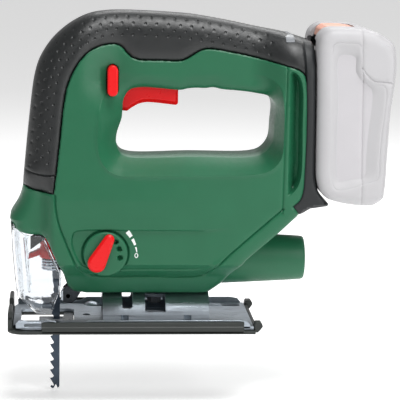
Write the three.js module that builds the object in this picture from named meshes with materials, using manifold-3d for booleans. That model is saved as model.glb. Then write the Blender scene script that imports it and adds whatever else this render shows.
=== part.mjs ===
// Cordless jigsaw with a closed D-handle, a tilting base plate and a slide-on battery pack.
// Millimetres. +Z is up, the blade end points to -X, the battery end to +X, and Y runs across the tool.
// The origin lies on the flat underside of the base, in the middle plane, half way along the base.
import * as THREE from "three";
import { mergeVertices } from "three/addons/utils/BufferGeometryUtils.js";
import Module from "manifold-3d";

const wasm = await Module();
wasm.setup();

// ---------- driving dimensions ----------
const GAP = 0.3; // between pieces that would touch
const WALL = 2.5; // wall of the plastic casings
const SKIN = 2.2; // thickness of the soft grip over the shells

const BODY_HALF = 33; // half width of the lower housing
const HANDLE_HALF = 18; // half width of the handle bar
const BODY_ROUND = 12; // rounding of the housing's side edges
const BODY_BOTTOM = 21; // height of the housing's underside
const BODY_REAR = 104.5; // where the green shells end and the battery bay begins

const STROKE = 20; // full travel of the blade
const PLUNGER_X = -50.5;
const MOTOR_Z = 76;
const TEETH_PINION = 10;
const TEETH_GEAR = 60;
const MODULE = 0.8;
const GEAR_Z = MOTOR_Z + (MODULE * (TEETH_PINION + TEETH_GEAR)) / 2;
const GEAR_FRONT = -28.7;
const GEAR_BACK = -22.3;
const GEAR_PLATE = { x0: -20.5, x1: -17.5 };
const PLUNGER_R = 5;
const CARRIAGE_PIN = { x: -59.7, z: 130.7, r: 1.8 };
const BLADE = { back: -47.2, gullet: -51.4, tips: -53.4, tip: -44.8, top: 49.4, pitch: 5.6, half: 0.6 };
const ROLLER = { r: 4.9, z: 17.5, half: 3.1 };
const ROLLER_X = BLADE.back + GAP + ROLLER.r;
const LEVER_PIN = { x: -33, z: 50, r: 2 };
const MOTOR = { x0: -9.5, x1: 48, r: 22, wall: 2.2 };

const SOLE = 2; // thickness of the overshoe's sole
const PLATE = 2; // thickness of the steel base
const PLATE_TOP = SOLE + GAP + PLATE;
const BASE_HALF = 39; // half width over the overshoe's rails
const BASE_FRONT = -79.9;
const BASE_REAR = 76;
const RAIL_FRONT = -58.7;
const RAIL_REAR = 68.7;
const RAIL_TOP = 7.5;
const WINDOW = { x0: -72, x1: -38, half: 17 }; // opening round the blade
const FLANGE = { half: 35.5, wall: 2, top: 7.5 }; // turned-up sides of the steel base
const ARCH_R = 22.5; // outer radius of the bevel bracket, about the tilt axis
const ARCH = { x0: -20, x1: 48, gap0: 7, gap1: 20 };
const SCREW_X = 13.5; // base clamp screw

const PORT = { x0: 57, x1: 109.7, z: 42, r0: 16.6, r1: 13.5, wall: 2 };
const SELECTOR = { x: -24.4, z: 45.1, reach: 16.9, angle: 63 }; // orbital lever
const BOSS = { x: -18.9, z: 50.5, r: 13.8, top: 34.6 };
const LOCK = { x: -15, z: 158.2, half: 3.3, tall: 19, end: 28 };
const LENS = { x0: 94.5, x1: 100.5, half: 9.7, z0: 178.5, z1: 185.2 };

const PACK_HALF = 38;
const PACK_WALL = 1.8;
const PACK_SPLIT = 139;
const CELL = { r: 9.1, half: 32, x0: 128.9, x1: 147.2, z0: 94, step: 18.7, rows: 5 };

// ---------- materials ----------
const paint = (color, roughness, metalness = 0) =>
  new THREE.MeshStandardMaterial({ color, roughness, metalness });
const GREEN = paint(0x2f6b4d, 0.5);
const BLACK = paint(0x24282a, 0.75);
const SHOE = paint(0x343a38, 0.6);
const RED = paint(0xe01a1f, 0.4);
const STEEL = paint(0xb9c2c9, 0.3, 0.9);
const DARK_STEEL = paint(0x434c56, 0.4, 0.9);
const ALUMINIUM = paint(0xc4c7ca, 0.4, 0.9);
const BRASS = paint(0xb08d4a, 0.35, 0.9);
const COPPER = paint(0xb06a3c, 0.4, 0.9);
const CLEAR = paint(0xe8eef2, 0.08);
CLEAR.transparent = true;
CLEAR.opacity = 0.35;
const PALE = paint(0xd2d2d3, 0.5);
const PALE_DARK = paint(0xc4c2c4, 0.55);
const PALE_RED = paint(0xf6c6b4, 0.5);
const BOARD = paint(0x2c6a48, 0.6);

// ---------- solid helpers ----------
function solid(geometry) {
  const bare = (geometry.index ? geometry.toNonIndexed() : geometry).clone();
  for (const name of Object.keys(bare.attributes)) {
    if (name !== "position") bare.deleteAttribute(name);
  }
  const merged = mergeVertices(bare, 1e-3);
  return new wasm.Manifold(
    new wasm.Mesh({
      numProp: 3,
      vertProperties: merged.attributes.position.array,
      triVerts: new Uint32Array(merged.index.array),
    }),
  );
}

function geometryOf(made) {
  const mesh = made.getMesh();
  const points = new Float32Array(mesh.numVert * 3);
  for (let i = 0; i < mesh.numVert; i++) {
    points.set(mesh.vertProperties.subarray(i * mesh.numProp, i * mesh.numProp + 3), i * 3);
  }
  const geometry = new THREE.BufferGeometry();
  geometry.setAttribute("position", new THREE.BufferAttribute(points, 3));
  geometry.setIndex(new THREE.BufferAttribute(mesh.triVerts, 1));
  geometry.computeVertexNormals();
  return geometry;
}

const join = (...parts) => parts.reduce((a, b) => a.add(b));
const cut = (a, ...tools) => tools.reduce((left, tool) => left.subtract(tool), a);

function box(x0, x1, y0, y1, z0, z1) {
  const geometry = new THREE.BoxGeometry(x1 - x0, y1 - y0, z1 - z0);
  return solid(geometry.translate((x0 + x1) / 2, (y0 + y1) / 2, (z0 + z1) / 2));
}

// A cylinder or cone along x, y or z, from one end to the other.
function rod(axis, from, to, a, b, r, rEnd = r, sides = 20) {
  const geometry = new THREE.CylinderGeometry(rEnd, r, to - from, sides);
  const middle = (from + to) / 2;
  if (axis === "z") geometry.rotateX(Math.PI / 2).translate(a, b, middle);
  if (axis === "x") geometry.rotateZ(-Math.PI / 2).translate(middle, a, b);
  if (axis === "y") geometry.translate(a, middle, b);
  return solid(geometry);
}

// A shape drawn in (x, z) and pushed through the tool from y = near to y = far (near < far).
// With a bevel, both long edges are rounded inwards by that much over `deep` millimetres.
function slab(points, near, far, round = 0, deep = round, segments = 2) {
  const depth = far - near - 2 * deep;
  const geometry = new THREE.ExtrudeGeometry(new THREE.Shape(points), {
    depth,
    bevelEnabled: round !== 0,
    bevelSize: Math.abs(round),
    bevelThickness: deep,
    bevelOffset: -Math.abs(round),
    bevelSegments: segments,
    steps: 1,
  });
  return solid(geometry.rotateX(Math.PI / 2).translate(0, far - deep, 0));
}

// A shape drawn in (y, z) and pushed along x.
function bar(points, x0, x1) {
  const shape = new THREE.Shape(points);
  const geometry = new THREE.ExtrudeGeometry(shape, { depth: x1 - x0, bevelEnabled: false });
  // shape x -> y, shape y -> z, depth -> x
  const turn = new THREE.Matrix4().makeBasis(
    new THREE.Vector3(0, 1, 0),
    new THREE.Vector3(0, 0, 1),
    new THREE.Vector3(1, 0, 0),
  );
  return solid(geometry.applyMatrix4(turn).translate(x0, 0, 0));
}

// A shape drawn in (x, y) and raised from z0 to z1.
function plate(points, z0, z1) {
  const shape = new THREE.Shape(points);
  const geometry = new THREE.ExtrudeGeometry(shape, { depth: z1 - z0, bevelEnabled: false });
  return solid(geometry.translate(0, 0, z0));
}

const points = (...pairs) => pairs.map(([a, b]) => new THREE.Vector2(a, b));
const rectangle = (a0, a1, b0, b1) => points([a0, b0], [a1, b0], [a1, b1], [a0, b1]);

// Points on a circle from one angle to another, in degrees.
function arc(a, b, r, from, to, steps) {
  const made = [];
  for (let i = 0; i <= steps; i++) {
    const t = THREE.MathUtils.degToRad(from + ((to - from) * i) / steps);
    made.push(new THREE.Vector2(a + r * Math.cos(t), b + r * Math.sin(t)));
  }
  return made;
}

// A tube of round section along a smooth path.
function tube(path, r, steps, sides = 6) {
  const section = new THREE.Shape(arc(0, 0, r, 0, 360 - 360 / sides, sides - 1));
  const curve = new THREE.CatmullRomCurve3(path.map((p) => new THREE.Vector3(...p)));
  return solid(new THREE.ExtrudeGeometry(section, { steps, bevelEnabled: false, extrudePath: curve }));
}

const root = new THREE.Group();
root.name = "jigsaw";

function add(name, made, material, parent = root) {
  const mesh = new THREE.Mesh(geometryOf(made), material);
  mesh.name = name;
  parent.add(mesh);
  return mesh;
}

// ---------- housing ----------
// Side outline of the housing without the nose, counter-clockwise from the underside.
function sideOutline(inset) {
  const i = inset;
  return [
    ...points([-33 + i * 0.4, BODY_BOTTOM + i], [42 - i * 0.3, BODY_BOTTOM + i], [57 - i * 0.6, 26 + i]),
    ...points([BODY_REAR - i, 68.5 + i], [BODY_REAR - i, 184.5 - i], [72 - i * 0.2, 192 - i]),
    ...points([34, 198.7 - i], [2, 200.9 - i], [-18, 200.6 - i], [-35, 196 - i]),
    ...points([-49 + i * 0.6, 187 - i * 0.8], [-59 + i * 0.8, 174.5 - i * 0.5], [-65 + i, 158 - i * 0.2]),
    ...points([-72 + i, 90], [-72 + i, 63 + i], [-57.5, 60 + i], [-45.5 + i * 0.8, 34]),
  ];
}

// The hand opening in the middle plane.
const opening = points(
  [-4, 109], [74, 109.5], [82, 112.5], [86.3, 120], [87.3, 142], [84, 148.5], [66, 151.5],
  [48, 153.2], [28, 152.5], [-2, 152.8], [-8, 145], [-9, 133], [-13, 122], [-11, 113],
);

// What is taken away for the hand: straight near the middle plane, wider towards the flat side.
function openingTool(grow) {
  const straightHalf = 15;
  const flare = 11;
  const deep = BODY_HALF - straightHalf;
  const spread = { bevelEnabled: true, bevelSegments: 1 };
  const funnel = new THREE.ExtrudeGeometry(new THREE.Shape(opening), {
    ...spread,
    depth: 2 * grow + 20,
    bevelSize: flare,
    bevelThickness: deep,
    bevelOffset: grow,
  });
  const straight = new THREE.ExtrudeGeometry(new THREE.Shape(opening), {
    ...spread,
    depth: straightHalf + 9 + grow,
    bevelSize: 0.01,
    bevelThickness: 0.01,
    bevelOffset: grow,
  });
  return join(
    solid(funnel.rotateX(Math.PI / 2).translate(0, grow - straightHalf - deep, 0)),
    solid(straight.rotateX(Math.PI / 2).translate(0, 5, 0)),
  );
}

// The sloping flanks under the housing that leave room for the tilted base.
function bellyTool(grow) {
  const g = grow;
  const flank = points([-60, -5], [-10, -5], [-13 + g, BODY_BOTTOM], [-20.5 + g, 34.2 + g], [-60, 60 + g]);
  return bar(flank, -90, 130);
}

// One half of the housing as a full solid, on the -Y side. A larger inset gives the space inside it.
function halfBody(inset) {
  const half = BODY_HALF - inset;
  const block = slab(sideOutline(inset), -half, half, BODY_ROUND - inset);
  const handleGap = slab(rectangle(-13 - inset, 88 + inset, 130, 215), -60, 60);
  const handleBar = slab(
    points(
      [-18, 152.6 + inset], [48, 153.2 + inset], [66, 151.5 + inset], [96, 146 + inset], [96, 186.2 - inset],
      [72, 192 - inset], [34, 198.7 - inset], [2, 200.9 - inset], [-18, 200.6 - inset],
    ),
    -(HANDLE_HALF - inset),
    HANDLE_HALF - inset,
    9 - inset * 0.5,
  );
  const nose = slab(
    points(
      [-48, 62 + inset], [-69 + inset * 0.5, 60.7 + inset], [-79.7 + inset, 69],
      [-75 + inset, 79], [-72 + inset, 89], [-48, 89],
    ),
    -(24 - inset),
    24 - inset,
    5,
    5,
    2,
  );
  // the sides lean in towards the top of the front column
  const lean = bar(
    points([-60, 84], [-BODY_HALF + inset, 84], [-23.5 + inset, 196], [-23.5 + inset, 215], [-60, 215]),
    -90,
    4,
  );
  const keep = box(-120, 130, -60, 0, -10, 220);
  const trimmed = cut(block, openingTool(inset), handleGap, bellyTool(inset), lean);
  return join(trimmed, handleBar, nose).intersect(keep);
}

// Where the soft grip lies: in front of and above this line, seen from the side.
const gripLine = [
  [-51.6, 88.6], [-50.4, 101.8], [-48.5, 119.4], [-46.2, 141.8], [-43.9, 154.5], [-40, 164], [-35.4, 171.1],
  [-29, 176.8], [-21, 179.8], [-14.9, 180.4], [-11, 179.2], [-7, 174.6], [-3.8, 171.9], [0.9, 170.5],
  [27.1, 170.1], [38, 176], [45, 177.8], [62, 175.2], [78, 171.8], [94, 167.9], [101.4, 164.8], [106, 159.5],
];
const GRIP_REAR = 106; // just behind the green shells

// The same line moved sideways, to the right of its own direction.
function parallel(line, shift) {
  return line.map((p, i) => {
    const before = line[Math.max(i - 1, 0)];
    const after = line[Math.min(i + 1, line.length - 1)];
    const a = new THREE.Vector2(p[0] - before[0], p[1] - before[1]).normalize();
    const b = new THREE.Vector2(after[0] - p[0], after[1] - p[1]).normalize();
    const along = a.clone().add(b).normalize();
    const reach = shift / Math.max(along.dot(a.length() ? a : b), 0.5);
    return [p[0] + along.y * reach, p[1] - along.x * reach];
  });
}

function gripZone(shift) {
  const line = parallel(gripLine, shift);
  const low = gripLine[0][1] - shift;
  line[0] = [line[0][0], low];
  line[line.length - 1] = [GRIP_REAR, line[line.length - 1][1]];
  return slab(points([-95, low], ...line, [GRIP_REAR, 215], [-95, 215]), -60, 60);
}

const screwSpots = [[-72.5, 73], [-52, 172], [44, 190], [97, 157.5], [96.5, 84], [66, 68]];
const screwThread = ([x, z]) => rod("y", -14, 5, x, z, 1.9, 1.9, 8);
const screwHole = ([x, z]) =>
  join(rod("y", -60, 5, x, z, 1.9, 1.9, 8), rod("y", -60, -12, x, z, 3.4, 3.4, 10));
const lensNotch = box(LENS.x0 - GAP, LENS.x1 + GAP, -LENS.half - GAP, 5, LENS.z0 - GAP, 215);

// An upright pill outline centred on (x, z).
function pill(x, z, half, tall) {
  const straight = tall / 2 - half;
  return [...arc(x, z + straight, half, 0, 180, 6), ...arc(x, z - straight, half, 180, 360, 6)];
}

// A shell on the -Y side with its screw posts and every opening that another piece passes through.
function shell(...extras) {
  const outer = join(cut(halfBody(0), gripZone(GAP)), halfBody(SKIN + GAP), ...extras);
  const inside = cut(halfBody(WALL), gripZone(GAP + WALL)).add(halfBody(SKIN + GAP + 2));
  const posts = screwSpots.map(([x, z]) => rod("y", -40, 0, x, z, 4.5, 4.5, 12).intersect(outer));
  const seam = box(-120, 130, -GAP / 2, 5, -10, 220);
  return cut(
    join(cut(outer, inside), ...posts),
    seam,
    box(-72, -38, -16, 5, 50, 68),
    box(-72, -39, -10.5, 5, 20, 68),
    box(-47, -28, -9, 5, 10, 40),
    box(101, 106, -13, 5, 94, 104),
    box(-11, 27.6, -8.6, 5, 130, 166),
    slab(pill(LOCK.x, LOCK.z, LOCK.half + GAP, LOCK.tall + 2 * GAP), -60, 5),
    rod("x", PORT.x0 - GAP, PORT.x1 + 5, 0, PORT.z, PORT.r0 + GAP, PORT.r1, 24),
    rod("x", -60, 70, 0, 0, ARCH_R + GAP, ARCH_R + GAP, 36),
    rod("z", 15, 42, SCREW_X, 0, 2.9, 2.9, 12),
    lensNotch,
  );
}

function addHousing() {
  const boss = rod("y", -BOSS.top, -BODY_HALF + 4, BOSS.x, BOSS.z, BOSS.r, BOSS.r, 32);
  const shaftHole = rod("y", -60, -20, SELECTOR.x, SELECTOR.z, 4.4, 4.4, 12);
  add("left_shell", cut(shell(boss), shaftHole, ...screwSpots.map(screwThread)), GREEN);
  add("right_shell", cut(shell(), ...screwSpots.map(screwHole)), GREEN).scale.y = -1;

  const seam = box(-120, 130, -GAP / 2, 5, -10, 220);
  const soft = cut(halfBody(0).intersect(gripZone(0)), halfBody(SKIN), seam, lensNotch);
  add("left_grip", soft, BLACK);
  add("right_grip", cut(soft, ...screwSpots.map(screwHole)), BLACK).scale.y = -1;

  screwSpots.forEach(([x, z], i) => {
    const head = rod("y", 12.4, 15.4, x, z, 3, 3, 10);
    const shank = rod("y", -13, 12.4, x, z, 1.5, 1.5, 8);
    add(`housing_screw_${i + 1}`, head.add(shank), DARK_STEEL);
  });

  const lens = box(LENS.x0, LENS.x1, -LENS.half, LENS.half, LENS.z0, LENS.z1);
  add("status_lens", lens, PALE);

  const tubeOut = rod("x", PORT.x0, PORT.x1, 0, PORT.z, PORT.r0, PORT.r1, 24);
  const bore = rod("x", PORT.x0 - 1, PORT.x1 + 1, 0, PORT.z, PORT.r0 - PORT.wall, PORT.r1 - PORT.wall, 24);
  add("dust_port", cut(tubeOut, bore), GREEN);
}

// ---------- battery bay ----------
const TONGUE = { stem: 16.2, flange: 21.2, x0: 109.3, x1: 111.7, z0: 106, z1: 178 };

function addBay() {
  const outline = points(
    [104.8, 70.5], [107.4, 70.2], [113.6, 74.2], [125.1, 75.9], [126, 77.2], [123, 79.9], [118.2, 87.6],
    [116.8, 95.3], [116, 112], [115.5, 146], [114.6, 166], [113.6, 178], [112.2, 182], [104.8, 184.2],
  );
  const channelBottom = 96;
  const made = cut(
    slab(outline, -BODY_HALF, BODY_HALF),
    box(100, 107.3, -29, 29, 80, 178),
    box(112, 140, -TONGUE.stem - GAP, TONGUE.stem + GAP, channelBottom, 200),
    box(109, 112.01, -TONGUE.flange - GAP, TONGUE.flange + GAP, channelBottom, 200),
    box(106, 110, -12, 12, 97, 103),
  );
  add("bay_frame", made, BLACK);

  const blades = [-9, 0, 9].map((y) => box(110.4, 111.2, y - 2.5, y + 2.5, 104, 114));
  add("terminal_block", join(box(109.3, 113.6, -15, 15, 96.3, 104.5), ...blades), BRASS);
}

// ---------- motor and gears ----------
// A spur gear's outline in (y, z) with thin straight-sided teeth; the first tooth points along +Y.
function gearOutline(teeth, z) {
  const pitchR = (MODULE * teeth) / 2;
  const tipR = pitchR + 0.75 * MODULE * 1.2;
  const rootR = pitchR - 1.25 * MODULE;
  const step = 360 / teeth;
  const made = [];
  for (let i = 0; i < teeth; i++) {
    for (const [r, share] of [[rootR, -0.3], [tipR, -0.11], [tipR, 0.11], [rootR, 0.3]]) {
      const t = THREE.MathUtils.degToRad((i + share) * step);
      made.push(new THREE.Vector2(r * Math.cos(t), z + r * Math.sin(t)));
    }
  }
  return made;
}

function addMotor() {
  const can = rod("x", MOTOR.x0, MOTOR.x1, 0, MOTOR_Z, MOTOR.r, MOTOR.r, 28);
  const boreR = MOTOR.r - MOTOR.wall;
  const space = rod("x", MOTOR.x0 + 2, MOTOR.x1 + 1, 0, MOTOR_Z, boreR, boreR, 28);
  add("motor_can", cut(can, space, rod("x", -12, -6, 0, MOTOR_Z, 4.5)), STEEL);
  const cap = rod("x", MOTOR.x1 + GAP, MOTOR.x1 + 5.5, 0, MOTOR_Z, MOTOR.r, MOTOR.r - 2, 28);
  add("motor_end_cap", cut(cap, rod("x", MOTOR.x1, MOTOR.x1 + 6, 0, MOTOR_Z, 4)), BLACK);
  const shaft = join(
    rod("x", -29, -20, 0, MOTOR_Z, 1.6),
    rod("x", -21, 56, 0, MOTOR_Z, 3),
    rod("x", -6, 41, 0, MOTOR_Z, 13.5),
    rod("x", 0, 36, 0, MOTOR_Z, 16.5, 16.5, 24),
    rod("x", 40, 47, 0, MOTOR_Z, 8),
  );
  add("armature", shaft, COPPER);
  const blades = [0, 1, 2, 3, 4, 5, 6].map((i) => {
    const turned = new THREE.BoxGeometry(4, 1.2, 13).translate(-14, 0, 12.5).rotateX((i * 2 * Math.PI) / 7);
    return solid(turned.translate(0, 0, MOTOR_Z));
  });
  const disc = rod("x", -12.4, -11, 0, MOTOR_Z, 20, 20, 24);
  const hub = rod("x", -16, -11, 0, MOTOR_Z, 6.5);
  add("fan", cut(join(disc, hub, ...blades), rod("x", -18, -10, 0, MOTOR_Z, 3.3)), PALE_DARK);
  const pinion = bar(gearOutline(TEETH_PINION, MOTOR_Z), GEAR_FRONT, GEAR_BACK);
  add("pinion", cut(pinion, rod("x", -32, -20, 0, MOTOR_Z, 1.9)), STEEL);

  const plateShape = points([-24, 58], [24, 58], [24, 92], [11, 112], [-11, 112], [-24, 92]);
  add(
    "gear_plate",
    cut(
      bar(plateShape, GEAR_PLATE.x0, GEAR_PLATE.x1),
      rod("x", -24, -15, 0, MOTOR_Z, 4.2),
      rod("x", -24, -15, 0, GEAR_Z, 4.3),
    ),
    ALUMINIUM,
  );
  add("gear_axle", rod("x", -29.3, -17.8, 0, GEAR_Z, 4), STEEL);
  const crankY = STROKE / 2;
  const gear = bar(gearOutline(TEETH_GEAR, GEAR_Z), GEAR_FRONT, GEAR_BACK);
  add(
    "drive_gear",
    cut(gear, rod("x", -32, -20, 0, GEAR_Z, 4.3), rod("x", -32, -20, crankY, GEAR_Z, 2.9)),
    STEEL,
  );
  add("crank_pin", rod("x", -36.5, -22.6, crankY, GEAR_Z, 2.6), STEEL);
}

// ---------- plunger and blade ----------
function addPlunger() {
  add("plunger", rod("z", 50.2, 146, PLUNGER_X, 0, PLUNGER_R, PLUNGER_R, 24), STEEL);
  const bore = (z0, z1) => rod("z", z0, z1, PLUNGER_X, 0, PLUNGER_R + GAP, PLUNGER_R + GAP, 24);

  // the slot is taller than the pin by what a straight-line drive differs from a crank's swing
  const slotHalfTall = 5.2;
  const sleeve = rod("z", GEAR_Z - 6, GEAR_Z + 6, PLUNGER_X, 0, 8, 8, 24);
  const yokeSolid = join(
    sleeve,
    box(-46, -36.8, -6, 6, GEAR_Z - 6, GEAR_Z + 6),
    box(-37, -31, -17.5, 17.5, GEAR_Z - 9, GEAR_Z + 9),
  );
  const slot = box(-40, -30, -13.4, 13.4, GEAR_Z - slotHalfTall, GEAR_Z + slotHalfTall);
  add("yoke", cut(yokeSolid, cut(slot, sleeve), bore(90, 118)), STEEL);

  const frame = join(
    box(-62.6, -43, -7, 7, 126.5, 135),
    box(-61.8, -59.6, -7, 7, 67, 135),
    box(-61.8, -42.5, -7, 7, 67, 78),
  );
  const pinBore = rod("y", -20, 20, CARRIAGE_PIN.x, CARRIAGE_PIN.z, CARRIAGE_PIN.r + GAP);
  add("carriage", cut(frame, bore(60, 140), pinBore), ALUMINIUM);
  add("carriage_pin", rod("y", -13, 13, CARRIAGE_PIN.x, CARRIAGE_PIN.z, CARRIAGE_PIN.r), STEEL);

  const bladeSlot = box(PLUNGER_X - 3.7, PLUNGER_X + 3.7, -0.9, 0.9, 36, 52);
  const clamp = cut(rod("z", 38, 56, PLUNGER_X, 0, 7, 7, 24), bore(49.9, 60), bladeSlot);
  add("blade_clamp", clamp, DARK_STEEL);
  add("clamp_spring", helix(8.3, 0.7, 39.6, 45.4, 3), STEEL);
  const collar = join(rod("z", 46.5, 53, PLUNGER_X, 0, 9.6, 9.6, 24), box(-66, -55, -3, 3, 46.5, 50.5));
  add("release_lever", cut(collar, rod("z", 40, 60, PLUNGER_X, 0, 7.3, 7.3, 24)), RED);
  addBlade();
}

function helix(radius, wire, z0, z1, turns) {
  const path = [];
  const steps = turns * 12;
  for (let i = 0; i <= steps; i++) {
    const t = (i / 12) * 2 * Math.PI;
    path.push([PLUNGER_X + radius * Math.cos(t), radius * Math.sin(t), z0 + ((z1 - z0) * i) / steps]);
  }
  return tube(path, wire, steps, 5);
}

// A T-shank blade: two lugs at the shank, hooked teeth on the front edge, a slanted tip.
function addBlade() {
  const outline = points([BLADE.back, BLADE.tip + 1.5], [BLADE.back, 30], [BLADE.back, BLADE.top - 6]);
  outline.push(...points([BLADE.back + 0.4, BLADE.top - 4], [BLADE.back + 0.4, BLADE.top - 2]));
  outline.push(...points([BLADE.back - 1.4, BLADE.top - 2], [BLADE.back - 1.4, BLADE.top]));
  outline.push(...points([BLADE.back - 5, BLADE.top], [BLADE.back - 5, BLADE.top - 2]));
  outline.push(...points([BLADE.back - 6.6, BLADE.top - 2], [BLADE.back - 6.6, BLADE.top - 4]));
  outline.push(...points([BLADE.back - 5.8, BLADE.top - 6], [BLADE.gullet, 20]));
  const teeth = Math.floor((18 - BLADE.tip) / BLADE.pitch);
  for (let i = 0; i < teeth; i++) {
    const z = 18 - i * BLADE.pitch;
    outline.push(...points([BLADE.gullet + 0.3, z + 0.9], [BLADE.tips, z], [BLADE.gullet, z - 3.4]));
  }
  outline.push(...points([BLADE.tips + 0.2, BLADE.tip + 0.6], [BLADE.gullet + 1, BLADE.tip]));
  add("saw_blade", slab(outline, -BLADE.half, BLADE.half), DARK_STEEL);
}

function addRoller() {
  const outline = points(
    [ROLLER_X - 3.2, 13.4], [ROLLER_X + 3, 12.8], [-34, 20], [-29, 50], [-32, 55], [-37, 52], [-38.8, 27],
    [ROLLER_X - 3.2, 22.2],
  );
  const lever = cut(
    slab(outline, -5.4, 5.4),
    box(-50, -30, -ROLLER.half - GAP, ROLLER.half + GAP, 0, 29),
    rod("y", -10, 10, ROLLER_X, ROLLER.z, 1.7, 1.7, 12),
    rod("y", -10, 10, LEVER_PIN.x, LEVER_PIN.z, LEVER_PIN.r + GAP, LEVER_PIN.r + GAP, 12),
  );
  add("roller_lever", lever, DARK_STEEL);
  const wheel = rod("y", -ROLLER.half, ROLLER.half, ROLLER_X, ROLLER.z, ROLLER.r, ROLLER.r, 24);
  add("guide_roller", cut(wheel, rod("y", -10, 10, ROLLER_X, ROLLER.z, 1.7, 1.7, 12)), STEEL);
  add("roller_pin", rod("y", -5.4, 5.4, ROLLER_X, ROLLER.z, 1.4, 1.4, 12), STEEL);
  add("lever_pin", rod("y", -13, 13, LEVER_PIN.x, LEVER_PIN.z, LEVER_PIN.r, LEVER_PIN.r, 12), STEEL);
}

// ---------- controls ----------
// The lever's outline: a large round end at the pivot, a smaller one at the tip.
function leverOutline() {
  const a = SELECTOR.angle;
  const wide = arc(SELECTOR.x, SELECTOR.z, 5.7, a + 82, a + 278, 10);
  const t = THREE.MathUtils.degToRad(a);
  const tipX = SELECTOR.x + SELECTOR.reach * Math.cos(t);
  const tipZ = SELECTOR.z + SELECTOR.reach * Math.sin(t);
  return [...wide, ...arc(tipX, tipZ, 3.2, a - 82, a + 82, 6)];
}

function addControls() {
  const trigger = slab(
    points(
      [-8.3, 137.5], [-5, 137.2], [-2.6, 139.2], [1.4, 142], [7, 143.1], [15.1, 142.4], [25.6, 141.2],
      [27.1, 142.2], [27.1, 160], [-9, 160], [-9, 150],
    ),
    -8,
    8,
    1,
    1,
    1,
  );
  add("trigger", trigger, RED);
  const body = box(-4, 37, -8.5, 8.5, 166.5, 187);
  add("trigger_switch", body, BLACK);
  add("lock_bar", slab(pill(LOCK.x, LOCK.z, LOCK.half, LOCK.tall), -LOCK.end, LOCK.end), RED);
  add("selector_lever", slab(leverOutline(), -39, -BOSS.top - GAP), RED);
  add("selector_shaft", rod("y", -BOSS.top, -18, SELECTOR.x, SELECTOR.z, 4, 4, 16), DARK_STEEL);
  const chips = [[-6, 118], [5, 128], [-4, 140]].map(([y, z]) => box(92.5, 96, y - 4, y + 4, z - 5, z + 5));
  add("control_board", join(box(91.2, 92.6, -12.5, 12.5, 92, 150), ...chips), BOARD);
  add("supply_lead", tube([[94.2, -8, 108], [96, -8, 102], [101, -8, 100.2], [108.4, -8, 100]], 1.3, 8), RED);
  const switchRoute = [[91.8, 6, 151.8], [90.5, 6, 160], [80, 6, 174], [60, 6, 179], [38, 6, 178]];
  add("switch_lead", tube(switchRoute, 1.3, 12), RED);
}

// ---------- base ----------
function baseOutline(front, rear, half, corner) {
  return [
    ...points([rear, -half], [rear, half]),
    ...arc(front + corner, half - corner, corner, 90, 180, 4),
    ...arc(front + corner, corner - half, corner, 180, 270, 4),
  ];
}

function addBase() {
  const window = (z0, z1) => box(WINDOW.x0, WINDOW.x1, -WINDOW.half, WINDOW.half, z0, z1);
  const low = SOLE + GAP;
  const flange = (side) => {
    const outer = side * FLANGE.half;
    const inner = side * (FLANGE.half - FLANGE.wall);
    return box(-64, 73, Math.min(outer, inner), Math.max(outer, inner), low, FLANGE.top);
  };
  const steel = cut(
    join(plate(baseOutline(BASE_FRONT + 3.4, 75, FLANGE.half, 10), low, PLATE_TOP), flange(-1), flange(1)),
    window(0, 10),
    rod("z", 0, 10, -30, 0, 2.5),
    rod("z", 0, 10, SCREW_X, 0, 5.5),
  );
  add("base_plate", steel, STEEL);

  const sector = (from, to) => [
    ...arc(0, 0, ARCH_R, from, to, Math.ceil((to - from) / 10)),
    ...arc(0, 0, ARCH_R - 2.2, to, from, Math.ceil((to - from) / 10)),
  ];
  const foot = 12.4;
  const strip = 26;
  const bracket = join(
    bar(sector(foot, 180 - foot), ARCH.x0, ARCH.gap0),
    bar(sector(foot, 180 - foot), ARCH.gap1, ARCH.x1),
    bar(sector(foot, strip), ARCH.x0, ARCH.x1),
    bar(sector(180 - strip, 180 - foot), ARCH.x0, ARCH.x1),
  );
  add("bevel_bracket", bracket, STEEL);

  const rail = (side) => {
    const outer = side * BASE_HALF;
    const inner = side * (BASE_HALF - 2.7);
    return box(RAIL_FRONT, RAIL_REAR, Math.min(outer, inner), Math.max(outer, inner), 0, RAIL_TOP);
  };
  const lip = cut(box(BASE_FRONT, BASE_FRONT + 2.9, -31, 31, 0, 13.3), box(-90, -70, -8.8, 8.8, 5.2, 20));
  const clip = (side) => box(75.5, 81, Math.min(side * 29, side * 36), Math.max(side * 29, side * 36), 0, 7);
  const sole = plate(baseOutline(BASE_FRONT, BASE_REAR, BASE_HALF, 10), 0, SOLE);
  const shoe = cut(
    join(sole, lip, rail(-1), rail(1), clip(-1), clip(1)),
    window(-1, 10),
  );
  add("overshoe", shoe, SHOE);

  const splinter = join(
    box(-44.5, WINDOW.x1 - GAP, -WINDOW.half + GAP, WINDOW.half - GAP, 0, SOLE),
    box(-60.5, -44, -5, 5, 0, SOLE),
  );
  add("splinter_guard", cut(splinter, box(-70, -45.5, -3.2, 3.2, -1, 4)), PALE);

  const head = rod("z", 12.6, 16.4, SCREW_X, 0, 4.6, 4.6, 6);
  add("clamp_screw", head.add(rod("z", 16, 38, SCREW_X, 0, 2.6, 2.6, 12)), DARK_STEEL);
  const washer = bar([...arc(0, 0, 19.9, 74, 106, 4), ...arc(0, 0, 17.4, 106, 74, 4)], 2, 25);
  add("clamp_plate", cut(washer, rod("z", 10, 25, SCREW_X, 0, 2.9, 2.9, 12)), STEEL);
}

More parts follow.
